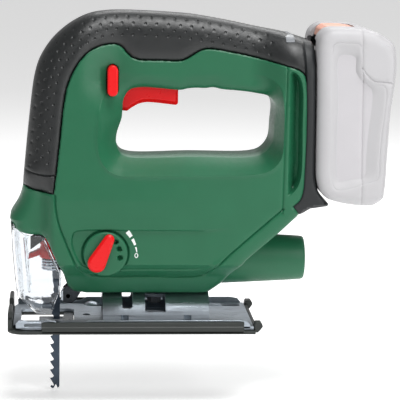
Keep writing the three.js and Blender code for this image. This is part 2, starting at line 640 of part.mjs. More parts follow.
// ---------- chip guard ----------
function addGuard() {
  const outline = points(
    [-52.3, 7.1], [-47.2, 23.6], [-46.3, 33.3], [-58.4, 59.2], [-69.2, 60], [-79.2, 67.6], [-74.8, 20.3],
    [-74.4, 15.6], [-71.8, 14.9], [-63.2, 5.8],
  );
  const hollow = points(
    [-60.5, 0], [-35, 0], [-35, 80], [-78.7, 80], [-73.2, 20.3], [-72.8, 17.1], [-71, 16.5], [-62.6, 7.6],
    [-60.5, 7.6],
  );
  // the section narrows below, so that the base can tilt round it
  const section = (t) => points(
    [-6.5 + t, 5], [6.5 - t, 5], [8 - t, 14], [12.5 - t, 20.5], [17.4 - t, 28.2], [20 - t, 36], [20 - t, 70],
    [-20 + t, 70], [-20 + t, 36], [-17.4 + t, 28.2], [-12.5 + t, 20.5], [-8 + t, 14],
  );
  const outer = slab(outline, -30, 30).intersect(bar(section(0), -90, -30));
  const bladePassage = box(-60.5, -35, -4.9, 4.9, 0, 10);
  const inner = slab(hollow, -30, 30).intersect(join(bar(section(1.6), -90, -30), bladePassage));
  add("chip_guard", cut(outer, inner), CLEAR);
}

// ---------- battery ----------
function packOutline(i) {
  return points(
    [113.4 + i, 182.3 - i * 0.4], [115.3 + i, 166], [116 + i, 146], [117.3 + i, 95.3],
    [118.9 + i, 87.6 + i * 0.2], [125 + i * 0.6, 79.2 + i], [146.4, 73.8 + i],
    [157.4 - i, 79 + i * 0.7], [161.4 - i, 138.4], [164.6 - i, 160],
    [163 - i, 178 - i * 0.4], [150 - i * 0.3, 189.5 - i], [118 + i * 0.7, 192.5 - i],
  );
}

function addBattery() {
  const outer = slab(packOutline(0), -PACK_HALF, PACK_HALF, 6, 6, 2);
  const t = PACK_WALL;
  const inner = slab(packOutline(t), -PACK_HALF + t, PACK_HALF - t, 6 - t, 6 - t, 2);
  const front = box(100, PACK_SPLIT - GAP / 2, -50, 50, 60, 205);
  const rear = box(PACK_SPLIT + GAP / 2, 180, -50, 50, 60, 205);
  const tongue = join(
    box(TONGUE.x0 + 2, 118, -TONGUE.stem, TONGUE.stem, TONGUE.z0, TONGUE.z1),
    box(TONGUE.x0, TONGUE.x1, -TONGUE.flange, TONGUE.flange, TONGUE.z0, TONGUE.z1),
  );
  const contacts = [-9, 0, 9].map((y) => box(110, 111.6, y - 3, y + 3, 100, 116));
  // the button sits in a pocket with walls of its own, open at the top
  const pocket = box(114, 137.9, -13.4, 13.4, 181, 200);
  const pocketWalls = box(112, 139.4, -15, 15, 179.4, 205).intersect(outer).intersect(front);
  const frontCase = join(cut(outer, inner).intersect(front), tongue, pocketWalls);
  add("pack_front_case", cut(frontCase, pocket, ...contacts), PALE);
  add("pack_rear_case", cut(outer, inner).intersect(rear), PALE_DARK);
  for (let row = 0; row < CELL.rows; row++) {
    const z = CELL.z0 + row * CELL.step;
    const pair = join(
      rod("y", -CELL.half, CELL.half, CELL.x0, z, CELL.r, CELL.r, 16),
      rod("y", -CELL.half, CELL.half, CELL.x1, z, CELL.r, CELL.r, 16),
      box(CELL.x0 - 3, CELL.x1 + 3, -CELL.half - 0.4, -CELL.half + 1, z - 3, z + 3),
    );
    add(`cell_pair_${row + 1}`, pair, BOARD);
  }
  const button = slab(
    points(
      [116.6, 184.4], [121, 184.4], [121, 187], [137.5, 187],
      [137.5, 192.4], [119.4, 193.3], [116.6, 189],
    ),
    -13,
    13,
  );
  add("pack_button", button, PALE_RED);
}

addHousing();
addBay();
addMotor();
addPlunger();
addRoller();
addControls();
addBase();
addGuard();
addBattery();

export default root;
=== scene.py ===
"""Cordless jigsaw with its battery pack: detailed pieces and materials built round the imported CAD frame."""
import math

import bpy
import numpy as np
from mathutils import Matrix, Vector
from mathutils.geometry import delaunay_2d_cdt


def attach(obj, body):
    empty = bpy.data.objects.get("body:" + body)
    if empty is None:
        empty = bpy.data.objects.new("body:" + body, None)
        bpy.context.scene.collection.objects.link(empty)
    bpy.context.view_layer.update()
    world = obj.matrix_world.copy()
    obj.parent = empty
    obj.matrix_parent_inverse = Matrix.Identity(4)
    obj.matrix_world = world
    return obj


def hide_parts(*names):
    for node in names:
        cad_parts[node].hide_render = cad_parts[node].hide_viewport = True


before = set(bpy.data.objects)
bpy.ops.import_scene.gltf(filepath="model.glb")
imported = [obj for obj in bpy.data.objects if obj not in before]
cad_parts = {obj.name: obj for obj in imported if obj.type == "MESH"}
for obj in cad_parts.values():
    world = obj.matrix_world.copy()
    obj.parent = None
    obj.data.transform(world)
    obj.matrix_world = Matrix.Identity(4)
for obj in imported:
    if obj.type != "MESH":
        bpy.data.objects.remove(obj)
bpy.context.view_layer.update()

# Everything below is written in millimetres, in the CAD frame: -X is the blade end, +Z is up.
MM = 0.001


# ---------- curves and distances in the side view ----------
def smooth_step(value, low, high):
    t = np.clip((value - low) / (high - low), 0, 1)
    return t * t * (3 - 2 * t)


def curve(points, step=1.3, closed=False):
    """A smooth line through the points (centripetal Catmull-Rom), sampled about every `step` millimetres."""
    knots = np.array(points, float)
    count = len(knots)
    made = []
    for i in range(count if closed else count - 1):
        p1, p2 = knots[i], knots[(i + 1) % count]
        p0 = knots[i - 1] if closed or i > 0 else 2 * p1 - p2
        p3 = knots[(i + 2) % count] if closed or i + 2 < count else 2 * p2 - p1
        t0 = 0.0
        t1 = t0 + np.linalg.norm(p1 - p0) ** 0.5
        t2 = t1 + np.linalg.norm(p2 - p1) ** 0.5
        t3 = t2 + np.linalg.norm(p3 - p2) ** 0.5
        pieces = max(1, int(round(np.linalg.norm(p2 - p1) / step)))
        t = np.linspace(t1, t2, pieces, endpoint=False)[:, None]
        a1 = (t1 - t) / (t1 - t0) * p0 + (t - t0) / (t1 - t0) * p1
        a2 = (t2 - t) / (t2 - t1) * p1 + (t - t1) / (t2 - t1) * p2
        a3 = (t3 - t) / (t3 - t2) * p2 + (t - t2) / (t3 - t2) * p3
        b1 = (t2 - t) / (t2 - t0) * a1 + (t - t0) / (t2 - t0) * a2
        b2 = (t3 - t) / (t3 - t1) * a2 + (t - t1) / (t3 - t1) * a3
        made.extend((t2 - t) / (t2 - t1) * b1 + (t - t1) / (t2 - t1) * b2)
    if not closed:
        made.append(knots[-1])
    return np.array(made)


def straight(points, step=1.3, closed=False):
    """The same for a line with sharp corners."""
    knots = np.array(points, float)
    made = []
    for i in range(len(knots) if closed else len(knots) - 1):
        a, b = knots[i], knots[(i + 1) % len(knots)]
        pieces = max(1, int(round(np.linalg.norm(b - a) / step)))
        made.extend(a + (b - a) * k / pieces for k in range(pieces))
    if not closed:
        made.append(knots[-1])
    return np.array(made)


def circle(x, z, r, count=24):
    t = np.linspace(0, 2 * math.pi, count, endpoint=False)
    return np.stack([x + r * np.cos(t), z + r * np.sin(t)], 1)


CHUNK = 2000  # points handled at a time, to keep memory small


def distance(points, line, closed=False):
    """Distance from each point to a line."""
    a = line if closed else line[:-1]
    b = np.roll(line, -1, axis=0) if closed else line[1:]
    run = b - a
    length2 = np.maximum((run * run).sum(1), 1e-12)
    found = np.empty(len(points))
    for start in range(0, len(points), CHUNK):
        part = points[start : start + CHUNK, None, :]
        t = np.clip(((part - a) * run).sum(2) / length2, 0, 1)
        away = part - (a + t[..., None] * run)
        found[start : start + CHUNK] = np.sqrt((away * away).sum(2).min(1))
    return found


def inside(points, loop):
    """Which points lie inside a closed line."""
    a, b = loop, np.roll(loop, -1, axis=0)
    made = np.zeros(len(points), bool)
    for start in range(0, len(points), CHUNK):
        part = points[start : start + CHUNK]
        x, z = part[:, 0, None], part[:, 1, None]
        spans = (a[:, 1] > z) != (b[:, 1] > z)
        drop = np.where(b[:, 1] == a[:, 1], 1e-12, b[:, 1] - a[:, 1])
        cross = a[:, 0] + (z - a[:, 1]) * (b[:, 0] - a[:, 0]) / drop
        made[start : start + CHUNK] = (spans & (x < cross)).sum(1) % 2 == 1
    return made


def beside(line, offsets, closed=False):
    """Points at these distances on both sides of a line, none of them nearer to another stretch of it."""
    after = np.roll(line, -1, axis=0) if closed else np.vstack([line[1:], 2 * line[-1] - line[-2]])
    before = np.roll(line, 1, axis=0) if closed else np.vstack([2 * line[0] - line[1], line[:-1]])
    along = after - before
    along /= np.linalg.norm(along, axis=1)[:, None] + 1e-12
    normal = np.stack([-along[:, 1], along[:, 0]], 1)
    made = []
    for offset in offsets:
        for sign in (-1, 1):
            ring = line + normal * offset * sign
            made.append(ring[np.abs(distance(ring, line, closed) - offset) < 0.06 * offset + 0.02])
    return np.vstack(made)


def thin(points, gap, taken=None):
    """Drops points that lie nearer than `gap` to one kept before."""
    cells = {} if taken is None else taken
    kept = []
    for x, z in points:
        i, j = int(x // gap), int(z // gap)
        around = [cells.get((i + di, j + dj), ()) for di in (-1, 0, 1) for dj in (-1, 0, 1)]
        near = (q for cell in around for q in cell)
        if all((q[0] - x) ** 2 + (q[1] - z) ** 2 >= gap * gap for q in near):
            cells.setdefault((i, j), []).append((x, z))
            kept.append((x, z))
    return np.array(kept).reshape(-1, 2)


# ---------- materials ----------
def linear(red, green, blue):
    """A colour given as 0-255 screen values."""
    made = []
    for value in (red, green, blue):
        s = value / 255
        made.append(s / 12.92 if s <= 0.04045 else ((s + 0.055) / 1.055) ** 2.4)
    return made


def noise(tree, coordinates, size_mm, detail=3.0, stretch=(1, 1, 1)):
    """A noise texture whose blotches are about size_mm across."""
    mapping = tree.nodes.new("ShaderNodeMapping")
    mapping.inputs["Scale"].default_value = stretch
    texture = tree.nodes.new("ShaderNodeTexNoise")
    texture.inputs["Scale"].default_value = 1 / (size_mm * MM)
    texture.inputs["Detail"].default_value = detail
    tree.links.new(coordinates, mapping.inputs["Vector"])
    tree.links.new(mapping.outputs["Vector"], texture.inputs["Vector"])
    return texture.outputs["Fac"]


def ranged(tree, value, low, high):
    node = tree.nodes.new("ShaderNodeMapRange")
    node.inputs["From Min"].default_value = 0.3
    node.inputs["From Max"].default_value = 0.7
    node.inputs["To Min"].default_value = low
    node.inputs["To Max"].default_value = high
    tree.links.new(value, node.inputs["Value"])
    return node.outputs["Result"]


def finish(
    name, color, roughness, grain=0.35, bump=0.06, tint=0.08, uneven=0.06, blotch=14.0,
    stretch=(1, 1, 1), **sockets,
):
    """A moulded or metal surface: blotches of tone, uneven gloss and a fine grain, all from noise."""
    material = bpy.data.materials.new(name)
    material.use_nodes = True
    tree = material.node_tree
    shader = tree.nodes["Principled BSDF"]
    coordinates = tree.nodes.new("ShaderNodeTexCoord").outputs["Object"]

    tone = tree.nodes.new("ShaderNodeMix")
    tone.data_type = "RGBA"
    tone.inputs["A"].default_value = [c * (1 - tint) for c in color] + [1]
    tone.inputs["B"].default_value = [min(1, c * (1 + tint)) for c in color] + [1]
    tree.links.new(noise(tree, coordinates, blotch, 4), tone.inputs["Factor"])
    tree.links.new(tone.outputs["Result"], shader.inputs["Base Color"])

    gloss = noise(tree, coordinates, blotch / 5, 3, stretch)
    tree.links.new(ranged(tree, gloss, roughness - uneven, roughness + uneven), shader.inputs["Roughness"])

    relief = tree.nodes.new("ShaderNodeBump")
    relief.inputs["Strength"].default_value = bump
    relief.inputs["Distance"].default_value = grain * MM
    tree.links.new(noise(tree, coordinates, grain, 2, stretch), relief.inputs["Height"])
    tree.links.new(relief.outputs["Normal"], shader.inputs["Normal"])

    for socket, value in sockets.items():
        shader.inputs[socket.replace("_", " ")].default_value = value
    return material


MATERIALS = {}


def surface(name, screen_color, *numbers, **sockets):
    MATERIALS[name] = finish(name, linear(*screen_color), *numbers, **sockets)


# After the colour: roughness, grain in mm, bump, tint, unevenness of gloss, blotch in mm, stretch of grain.
BRUSHED_ALONG = (0.04, 1, 1)
BRUSHED_UP = (1, 1, 0.05)
surface("green_plastic", (32, 94, 65), 0.38, 0.3, 0.25, 0.07, Specular_IOR_Level=0.32)
surface("soft_grip", (16, 19, 20), 0.4, 0.25, 0.3, 0.12, Specular_IOR_Level=0.55)
surface("black_plastic", (24, 27, 29), 0.46, 0.3, 0.3, 0.1, Specular_IOR_Level=0.4)
surface("shoe_plastic", (38, 42, 40), 0.42, 0.3, 0.25, 0.1, Specular_IOR_Level=0.4)
surface("red_plastic", (214, 8, 14), 0.32, 0.4, 0.08, 0.06, Specular_IOR_Level=0.3)
surface("lens_plastic", (120, 123, 127), 0.3, 0.5, 0.1, 0.08)
surface("bright_steel", (196, 204, 212), 0.26, 0.2, 0.12, 0.08, 0.08, 9, BRUSHED_ALONG, Metallic=1.0)
surface("pressed_steel", (160, 168, 176), 0.34, 0.25, 0.25, 0.16, 0.09, 7, BRUSHED_ALONG, Metallic=1.0)
surface("dark_steel", (52, 56, 60), 0.36, 0.25, 0.15, 0.15, 0.1, 6, Metallic=0.8)
surface("blade_steel", (58, 68, 80), 0.36, 0.2, 0.15, 0.15, 0.1, 6, BRUSHED_UP, Metallic=0.7)
surface("motor_iron", (150, 96, 62), 0.4, 0.3, 0.3, 0.2, 0.1, 3, Metallic=0.8)
surface("cast_aluminium", (188, 190, 192), 0.42, 0.5, 0.3, 0.1, Metallic=0.9)
surface("brass_contact", (190, 150, 80), 0.3, 0.3, 0.1, 0.1, Metallic=1.0)
surface("circuit_board", (30, 96, 60), 0.4, 0.8, 0.2, 0.2)
surface("lead_cover", (190, 30, 30), 0.4, 0.4, 0.1, 0.08)
surface("pack_plastic", (174, 173, 175), 0.46, 0.3, 0.15, 0.03, Specular_IOR_Level=0.3)
surface("pack_button_plastic", (232, 168, 146), 0.4, 0.3, 0.15, 0.03)
surface("cell_sleeve", (70, 130, 150), 0.35, 0.3, 0.1, 0.08)
surface("pack_panel", (177, 175, 178), 0.5, 0.3, 0.15, 0.03)
surface("dial_print", (232, 236, 234), 0.5, 0.3, 0.05, 0.02)


def clear_material():
    """Clear moulded plastic with faint flow lines down its walls."""
    material = finish("clear_plastic", [0.86, 0.88, 0.9], 0.05, 2.5, 0.05, 0.02, 0.03, 20, (1, 1, 0.1))
    shader = material.node_tree.nodes["Principled BSDF"]
    shader.inputs["Transmission Weight"].default_value = 1.0
    shader.inputs["IOR"].default_value = 1.4
    return material


MATERIALS["clear_plastic"] = clear_material()

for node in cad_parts.values():
    for node_slot in node.material_slots:
        slot_name = node_slot.material.name.split(".")[0] if node_slot.material else ""
        if slot_name in MATERIALS:
            node_slot.material = MATERIALS[slot_name]


# ---------- pieces ----------
SHARP = 38  # degrees between faces that show an edge


def linked(name, data):
    obj = bpy.data.objects.new(name, data)
    bpy.context.scene.collection.objects.link(obj)
    return obj


def mesh_of(name, points, faces):
    mesh = bpy.data.meshes.new(name)
    mesh.from_pydata((np.asarray(points, float) * MM).tolist(), [], [list(map(int, f)) for f in faces])
    return mesh


def shade(mesh, angle=SHARP):
    mesh.polygons.foreach_set("use_smooth", np.ones(len(mesh.polygons), bool))
    mesh.set_sharp_from_angle(angle=math.radians(angle))


def piece(name, points, faces, body, slot, replaces=(), materials=None, face_materials=None):
    """A mesh in the frame that rides on a body and stands for CAD nodes."""
    mesh = mesh_of(name, points, faces)
    for material in materials or [slot]:
        mesh.materials.append(MATERIALS[material])
    if face_materials is not None:
        mesh.polygons.foreach_set("material_index", np.asarray(face_materials, np.int32))
    mesh.update()
    shade(mesh)
    obj = linked(name, mesh)
    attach(obj, body)
    if replaces:
        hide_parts(*replaces)
    return obj


def soften(obj, width, segments=2, angle=32):
    """Rounds the edges of a piece."""
    bevel = obj.modifiers.new("edges", "BEVEL")
    bevel.width = width * MM
    bevel.segments = segments
    bevel.limit_method = "ANGLE"
    bevel.angle_limit = math.radians(angle)
    bevel.harden_normals = True
    bevel.use_clamp_overlap = True
    return obj


AXES = {"x": (1, 2, 0), "y": (0, 2, 1), "z": (0, 1, 2)}


def placed(axis, flat, level):
    """Points of a flat drawing set at a level of an axis. Drawings are (y, z), (x, z) or (x, y)."""
    made = np.empty((len(flat), 3))
    a, b, c = AXES[axis]
    made[:, a], made[:, b], made[:, c] = flat[:, 0], flat[:, 1], level
    return made


def bands(rows, count):
    """Four-sided faces between rows of points, where each row closes into a ring."""
    faces = []
    for start in range(0, (rows - 1) * count, count):
        for i in range(count):
            j = (i + 1) % count
            faces.append([start + i, start + j, start + count + j, start + count + i])
    return faces


def turned(faces, wanted):
    """The faces as they are if wanted, or else seen from their other side."""
    return faces if wanted else [f[::-1] for f in faces]


def layered(levels, axis):
    """Outlines with equal numbers of points, joined from one level of an axis to the next."""
    count = len(levels[0][0])
    points = np.vstack([placed(axis, np.array(outline, float), level) for outline, level in levels])
    last = (len(levels) - 1) * count
    faces = [list(range(count))[::-1], list(range(last, last + count)), *bands(len(levels), count)]
    flat = np.array(levels[0][0], float)
    after = np.roll(flat, -1, axis=0)
    area = (flat[:, 0] * after[:, 1] - after[:, 0] * flat[:, 1]).sum()
    return points, turned(faces, (area > 0) == (axis != "y"))


def prism(outline, axis, low, high):
    """An outline pushed along an axis."""
    return layered([(outline, low), (outline, high)], axis)


def lathe(profile, axis, a, b, count=40):
    """A closed profile of (level, radius) turned round an axis through (a, b)."""
    rings = [placed(axis, circle(a, b, max(radius, 1e-3), count), level) for level, radius in profile]
    points = np.vstack(rings)
    faces = [[i % len(points) for i in f] for f in bands(len(profile) + 1, count)]
    after = profile[1:] + profile[:1]
    rising = sum((q[0] - p[0]) * (q[1] + p[1]) for p, q in zip(profile, after)) > 0
    return points, turned(faces, rising == (axis != "y"))


def sweep(path, radius, count=10):
    """A closed round wire along a path of 3-D points."""
    path = np.array(path, float)
    along = np.gradient(path, axis=0)
    along /= np.linalg.norm(along, axis=1)[:, None]
    side = np.cross(along, [0.02, 0.03, 1.0])
    side /= np.linalg.norm(side, axis=1)[:, None]
    up = np.cross(side, along)
    turn = np.linspace(0, 2 * math.pi, count, endpoint=False)[None, :, None]
    rings = path[:, None, :] + radius * (side[:, None, :] * np.cos(turn) + up[:, None, :] * np.sin(turn))
    points = rings.reshape(-1, 3)
    faces = turned(bands(len(path), count), False)
    faces.append(list(range(count)))
    faces.append(list(range(len(points) - count, len(points)))[::-1])
    return points, faces


def gathered(*parts):
    """Several points-and-faces pairs as one."""
    points, faces, start = [], [], 0
    for part_points, part_faces in parts:
        points.append(np.asarray(part_points, float))
        faces += [[i + start for i in f] for f in part_faces]
        start += len(part_points)
    return np.vstack(points), faces


def block(x0, x1, y0, y1, z0, z1):
    return prism([(y0, z0), (y1, z0), (y1, z1), (y0, z1)], "x", x0, x1)


def carve(obj, *cutters):
    """Cuts shapes, given as points and faces, out of a piece."""
    for points, faces in cutters:
        tool = linked("cutter", mesh_of("cutter", points, faces))
        cut = obj.modifiers.new("cut", "BOOLEAN")
        cut.operation = "DIFFERENCE"
        cut.solver = "EXACT"
        cut.object = tool
        bpy.context.view_layer.update()
        evaluated = obj.evaluated_get(bpy.context.evaluated_depsgraph_get())
        made = bpy.data.meshes.new_from_object(evaluated)
        obj.modifiers.clear()
        obj.data = made
        bpy.data.objects.remove(tool)
    shade(obj.data)
    return obj


# ---------- shells lifted from the side view ----------
class SideView:
    """A side of the tool drawn flat in (x, z), split into triangles along its lines."""

    def __init__(self, loops, lines, extra, spacing):
        drawn = [(loop, True) for loop in loops] + [(line, False) for line in lines]
        fixed, edges, start = np.vstack([line for line, _ in drawn]), [], 0
        for line, closed in drawn:
            count = len(line)
            edges += [(start + i, start + i + 1) for i in range(count - 1)]
            if closed:
                edges.append((start + count - 1, start))
            start += count
        free = self._free_points(fixed, drawn, extra, spacing)
        flat = [Vector((float(x), float(z))) for x, z in np.vstack([fixed, free])]
        verts, _, faces, *_ = delaunay_2d_cdt(flat, edges, [], 0, 1e-4)
        points = np.array([(v.x, v.y) for v in verts])
        triangles = np.array([f for f in faces if len(f) == 3])
        a, b, c = (points[triangles[:, k]] for k in range(3))
        area = (b[:, 0] - a[:, 0]) * (c[:, 1] - a[:, 1]) - (c[:, 0] - a[:, 0]) * (b[:, 1] - a[:, 1])
        triangles[area < 0] = triangles[area < 0][:, ::-1]
        self.points, self.triangles = points, triangles[np.abs(area) > 1e-7]
        self.centres = self.points[self.triangles].mean(1)

    @staticmethod
    def _free_points(fixed, drawn, extra, spacing):
        """The extra points, and a grid of triangles where nothing else is drawn, inside the first loop."""
        outline = drawn[0][0]
        low, high = outline.min(0), outline.max(0)
        rows = np.arange(low[1], high[1], spacing * 0.866)
        grid = [
            (x + (row % 2) * spacing / 2, z)
            for row, z in enumerate(rows)
            for x in np.arange(low[0], high[0], spacing)
        ]
        free = thin(extra, 0.32)
        everything = np.vstack([fixed, free])
        clear = thin(np.vstack([everything, np.array(grid)]), spacing * 0.62)
        known = {(round(x, 5), round(z, 5)) for x, z in everything}
        grid_kept = np.array([p for p in clear if (round(p[0], 5), round(p[1], 5)) not in known])
        candidates = np.vstack([free, grid_kept])
        candidates = candidates[inside(candidates, outline)]
        near = np.full(len(candidates), 1e9)
        for line, closed in drawn:
            near = np.minimum(near, distance(candidates, line, closed))
        return candidates[near > 0.12]

    def half(self, chosen, outer, middle, edge_distance, side, wall=2.5):
        """The chosen triangles as one closed hollow half on one side of the middle plane.

        outer and middle are half widths at the points, and edge_distance is how far they are from the rim.
        """
        points = self.points
        triangles = self.triangles[chosen]
        thinnest = 0.3
        rim_y = np.minimum(middle, outer - thinnest)
        deep = np.minimum(np.maximum(outer - wall, middle + 0.4), outer - thinnest)
        rim = (edge_distance[triangles] < wall * 0.96).any(1)
        count = len(points)
        xyz = np.vstack([np.stack([points[:, 0], side * y, points[:, 1]], 1) for y in (outer, rim_y, deep)])
        inner = np.where(rim[:, None], triangles + count, triangles + 2 * count)
        owner = {}
        for index, triangle in enumerate(triangles):
            for k in range(3):
                owner[(triangle[k], triangle[(k + 1) % 3])] = index
        walls = []
        for (a, b), index in owner.items():
            other = owner.get((b, a))
            offset_here = count if rim[index] else 2 * count
            if other is None:
                walls.append((b, a, a + offset_here, b + offset_here))
            elif rim[index] and not rim[other]:
                walls.append((b + count, b + 2 * count, a + 2 * count, a + count))
        polygons = turned([*map(tuple, triangles), *map(tuple, inner[:, ::-1]), *walls], side < 0)
        used = np.unique(np.concatenate([np.array(p) for p in polygons]))
        renumber = np.full(3 * count, -1)
        renumber[used] = np.arange(len(used))
        return xyz[used], [[int(renumber[i]) for i in p] for p in polygons]


# ---------- housing: lines of the side view ----------
UNDERSIDE = straight([(-33, 21), (47.5, 21)])
REAR_SLOPE = straight([(47.5, 21), (55.5, 27.6), (70.2, 45.8), (89.6, 62.6), (102.4, 74.6)])
BAY_FOOT = straight(
    [(102.4, 74.6), (103.4, 75.4), (109.6, 79.2), (120.4, 80.8), (121.2, 82.2), (118.8, 84.4)]
)
BAY_REAR = curve(
    [(118.8, 84.4), (114.4, 90.6), (112.4, 98.3), (112, 112.3), (111.9, 128.7), (111.7, 145.3),
     (111.3, 162.9), (111.2, 171.8), (111.1, 179.8), (110.4, 182.9)]
)
TOP = curve(
    [(110.4, 182.9), (100.6, 185.9), (92.7, 188), (73.1, 192), (56.8, 195.2), (35, 198.7), (18.9, 199.9),
     (2.7, 200.6), (-8.5, 200.8), (-17.4, 200.4), (-27.8, 198.6), (-35.8, 195.4), (-43.8, 190.4),
     (-51.7, 183.2), (-57.4, 175.5), (-61.3, 167.8), (-64.1, 157.3), (-66.5, 137.9), (-69.3, 109.3),
     (-70.4, 96.5), (-71.1, 87.9), (-73.4, 80), (-78.4, 71.4), (-78.9, 69.5), (-77.6, 66.8)]
)
NOSE_BOTTOM = curve(
    [(-77.6, 66.8), (-73.4, 63), (-66.9, 60.9), (-58.4, 60.2), (-55.2, 57), (-51.2, 48.5), (-45.3, 35.5),
     (-42.3, 26.4), (-38.6, 22.2), (-33, 21)]
)
SILHOUETTE = np.vstack([part[:-1] for part in (UNDERSIDE, REAR_SLOPE, BAY_FOOT, BAY_REAR, TOP, NOSE_BOTTOM)])

OPENING = curve(
    [(-4.4, 109.4), (35, 109.7), (74.7, 110.1), (81.3, 112.3), (86.3, 118.6), (87.6, 130), (87.8, 143),
     (83.8, 148.3), (75, 150.4), (65.8, 151.5), (54, 152.4), (48.7, 153.4), (43.4, 152.9), (38, 153),
     (32.8, 152.6), (28, 151.7), (15, 152.6), (2, 153), (-4.4, 151.2), (-7.8, 146), (-8.5, 139),
     (-8.9, 134.2), (-11.9, 124.5), (-12.2, 118), (-9.8, 111.9)],
    closed=True,
)
OPENING_BEVEL = curve(
    [(-24, 130), (-24.3, 118.1), (-22.2, 109.3), (-17.5, 102.9), (-11.1, 99.8), (-5.5, 99.2), (39.6, 99.7),
     (71.6, 100.8), (79.6, 101.9), (85.9, 105), (90.2, 110.7), (91.5, 116.3), (91.4, 146.7), (89.6, 155),
     (82, 161), (66, 163), (48, 164.5), (28, 164), (0, 164), (-12, 160), (-20, 150), (-23, 141)],
    closed=True,
)
LOCK = {"x": -15.0, "z": 158.2, "half": 3.3, "tall": 19.0, "end": 28.0, "gap": 0.4}


def pill(x, z, half, tall, count=10):
    """An upright pill outline centred on (x, z)."""
    reach = tall / 2 - half
    turn = np.linspace(0, math.pi, count)
    top = np.stack([x + half * np.cos(turn), z + reach + half * np.sin(turn)], 1)
    bottom = np.stack([x - half * np.cos(turn), z - reach - half * np.sin(turn)], 1)
    return np.vstack([top, bottom])


LOCK_HOLE = straight(
    pill(LOCK["x"], LOCK["z"], LOCK["half"] + LOCK["gap"], LOCK["tall"] + 2 * LOCK["gap"]), 1.0, closed=True
)

GRIP_LOW = curve([(-77, 95.6), (-70.3, 91.8), (-64.1, 89.4), (-56.8, 88), (-51.2, 87.6)])
GRIP_BAND = curve([(-76, 106), (-69.3, 102.4), (-63.1, 100.2), (-56.8, 99.2), (-49.7, 99.2)])
GRIP_SIDE = curve(
    [(-51.2, 87.6), (-49.4, 101.8), (-47.5, 119.4), (-45.2, 141.8), (-42.9, 154.5), (-39, 164),
     (-34.4, 171.1), (-28.1, 176.8), (-20.2, 179.8), (-13.9, 180.4), (-10, 179), (-6, 174.8), (-2.6, 171.9),
     (1.9, 170.6), (14, 170.3), (27.5, 170.2), (31, 171.3), (39, 176), (42.9, 177.6), (46.5, 177.8),
     (62.9, 175.2), (78.9, 171.8), (95, 167.9), (101.4, 165.6), (104.2, 162.4), (105, 160)]
)
GRIP_LINE = np.vstack([GRIP_LOW[:-1], GRIP_SIDE])
BAY_SIDE = curve(
    [(104, 192), (104.3, 175), (105, 160), (105.7, 148), (105.9, 125), (105.4, 101.6), (104.8, 91),
     (102.8, 84.6), (98.6, 80.6)]
)
BAY_LINE = np.vstack([BAY_SIDE[:-1], straight([(98.6, 80.6), (103.2, 75), (106.5, 71)])])
PANEL_GROOVE = curve(
    [(-50.6, 87), (-50.4, 84), (-50, 78.2), (-48.4, 69.8), (-43.4, 56.4), (-39, 46.0), (-35.8, 40.0),
     (-30.6, 35.6), (-22.2, 33.8), (10, 33.5), (39.6, 33.6), (45, 35.6), (50.6, 41.0), (61, 51.2), (80, 68),
     (92.6, 79.0)]
)
POST_GROOVE = curve([(93.3, 168.2), (92.8, 130), (92, 76)])
SLOT = curve(
    [(94.6, 165.6), (99, 164.4), (102.4, 158.5), (103.4, 130), (103, 99), (100.8, 92.5), (97.5, 88.6),
     (94.8, 86.8), (93.7, 90), (93.9, 125), (94.1, 160)],
    closed=True,
)
BOSS = {"x": -18.9, "z": 50.5, "r": 13.8, "top": 34.6}
RECESS = curve(
    [(-40.2, 55), (-40.2, 61), (-38.6, 64.4), (-34.9, 65.6), (0, 65.8), (40, 65.8), (68, 65.8), (66, 58),
     (53, 45.6), (45, 40), (40, 38.6), (10, 38.5), (-22, 38.6), (-29.8, 39.8), (-34.6, 43), (-38, 49)],
    closed=True,
)
SCREWS = [(-72.5, 73.0), (-52.0, 172.0), (44.0, 190.0), (97.0, 157.5), (96.5, 84.0), (66.0, 68.0)]
SCREW_HOLE = 3.5
SCREW_SEAT = 15.0  # how far from the middle plane a screw hole ends
SEAMS = (GRIP_LINE, GRIP_BAND, BAY_LINE, PANEL_GROOVE, POST_GROOVE)

# Dimples of the grip: "rows" are depths below its top, "first" is how far along it they start, and the last
# two are the limits they stay within.
DIMPLE = {
    "r": 1.0, "deep": 0.8, "step": 7.4, "first": 14, "rows": (3.4, 7.0, 10.5, 14.2), "z_min": 104,
    "x_max": 86,
}
GRIP_ZONE = np.vstack([GRIP_LINE, [(105, 215), (-95, 215), (-95, 95)]])
BAY_ZONE = np.vstack([BAY_LINE, [(140, 60), (140, 200)]])


def dimple_centres():
    """Rows of dimples that follow the top of the grip, every second row shifted by half a step."""
    fine = curve(TOP[::2], 0.4)
    run = np.concatenate([[0], np.cumsum(np.linalg.norm(np.diff(fine, axis=0), axis=1))])
    along = np.gradient(fine, axis=0)
    along /= np.linalg.norm(along, axis=1)[:, None]
    inward = np.stack([-along[:, 1], along[:, 0]], 1)
    made = []
    for row, depth in enumerate(DIMPLE["rows"]):
        places = np.arange(DIMPLE["first"] + (row % 2) * DIMPLE["step"] / 2, run[-1], DIMPLE["step"])
        picked = np.searchsorted(run, places)
        made.append(fine[picked] + inward[picked] * depth)
    made = np.vstack(made)
    clear = inside(made, GRIP_ZONE) & (distance(made, GRIP_LINE) > 2.2) & (distance(made, GRIP_BAND) > 2.0)
    return thin(made[clear & (made[:, 1] > DIMPLE["z_min"]) & (made[:, 0] < DIMPLE["x_max"])], 2.6)


DIMPLES = dimple_centres()


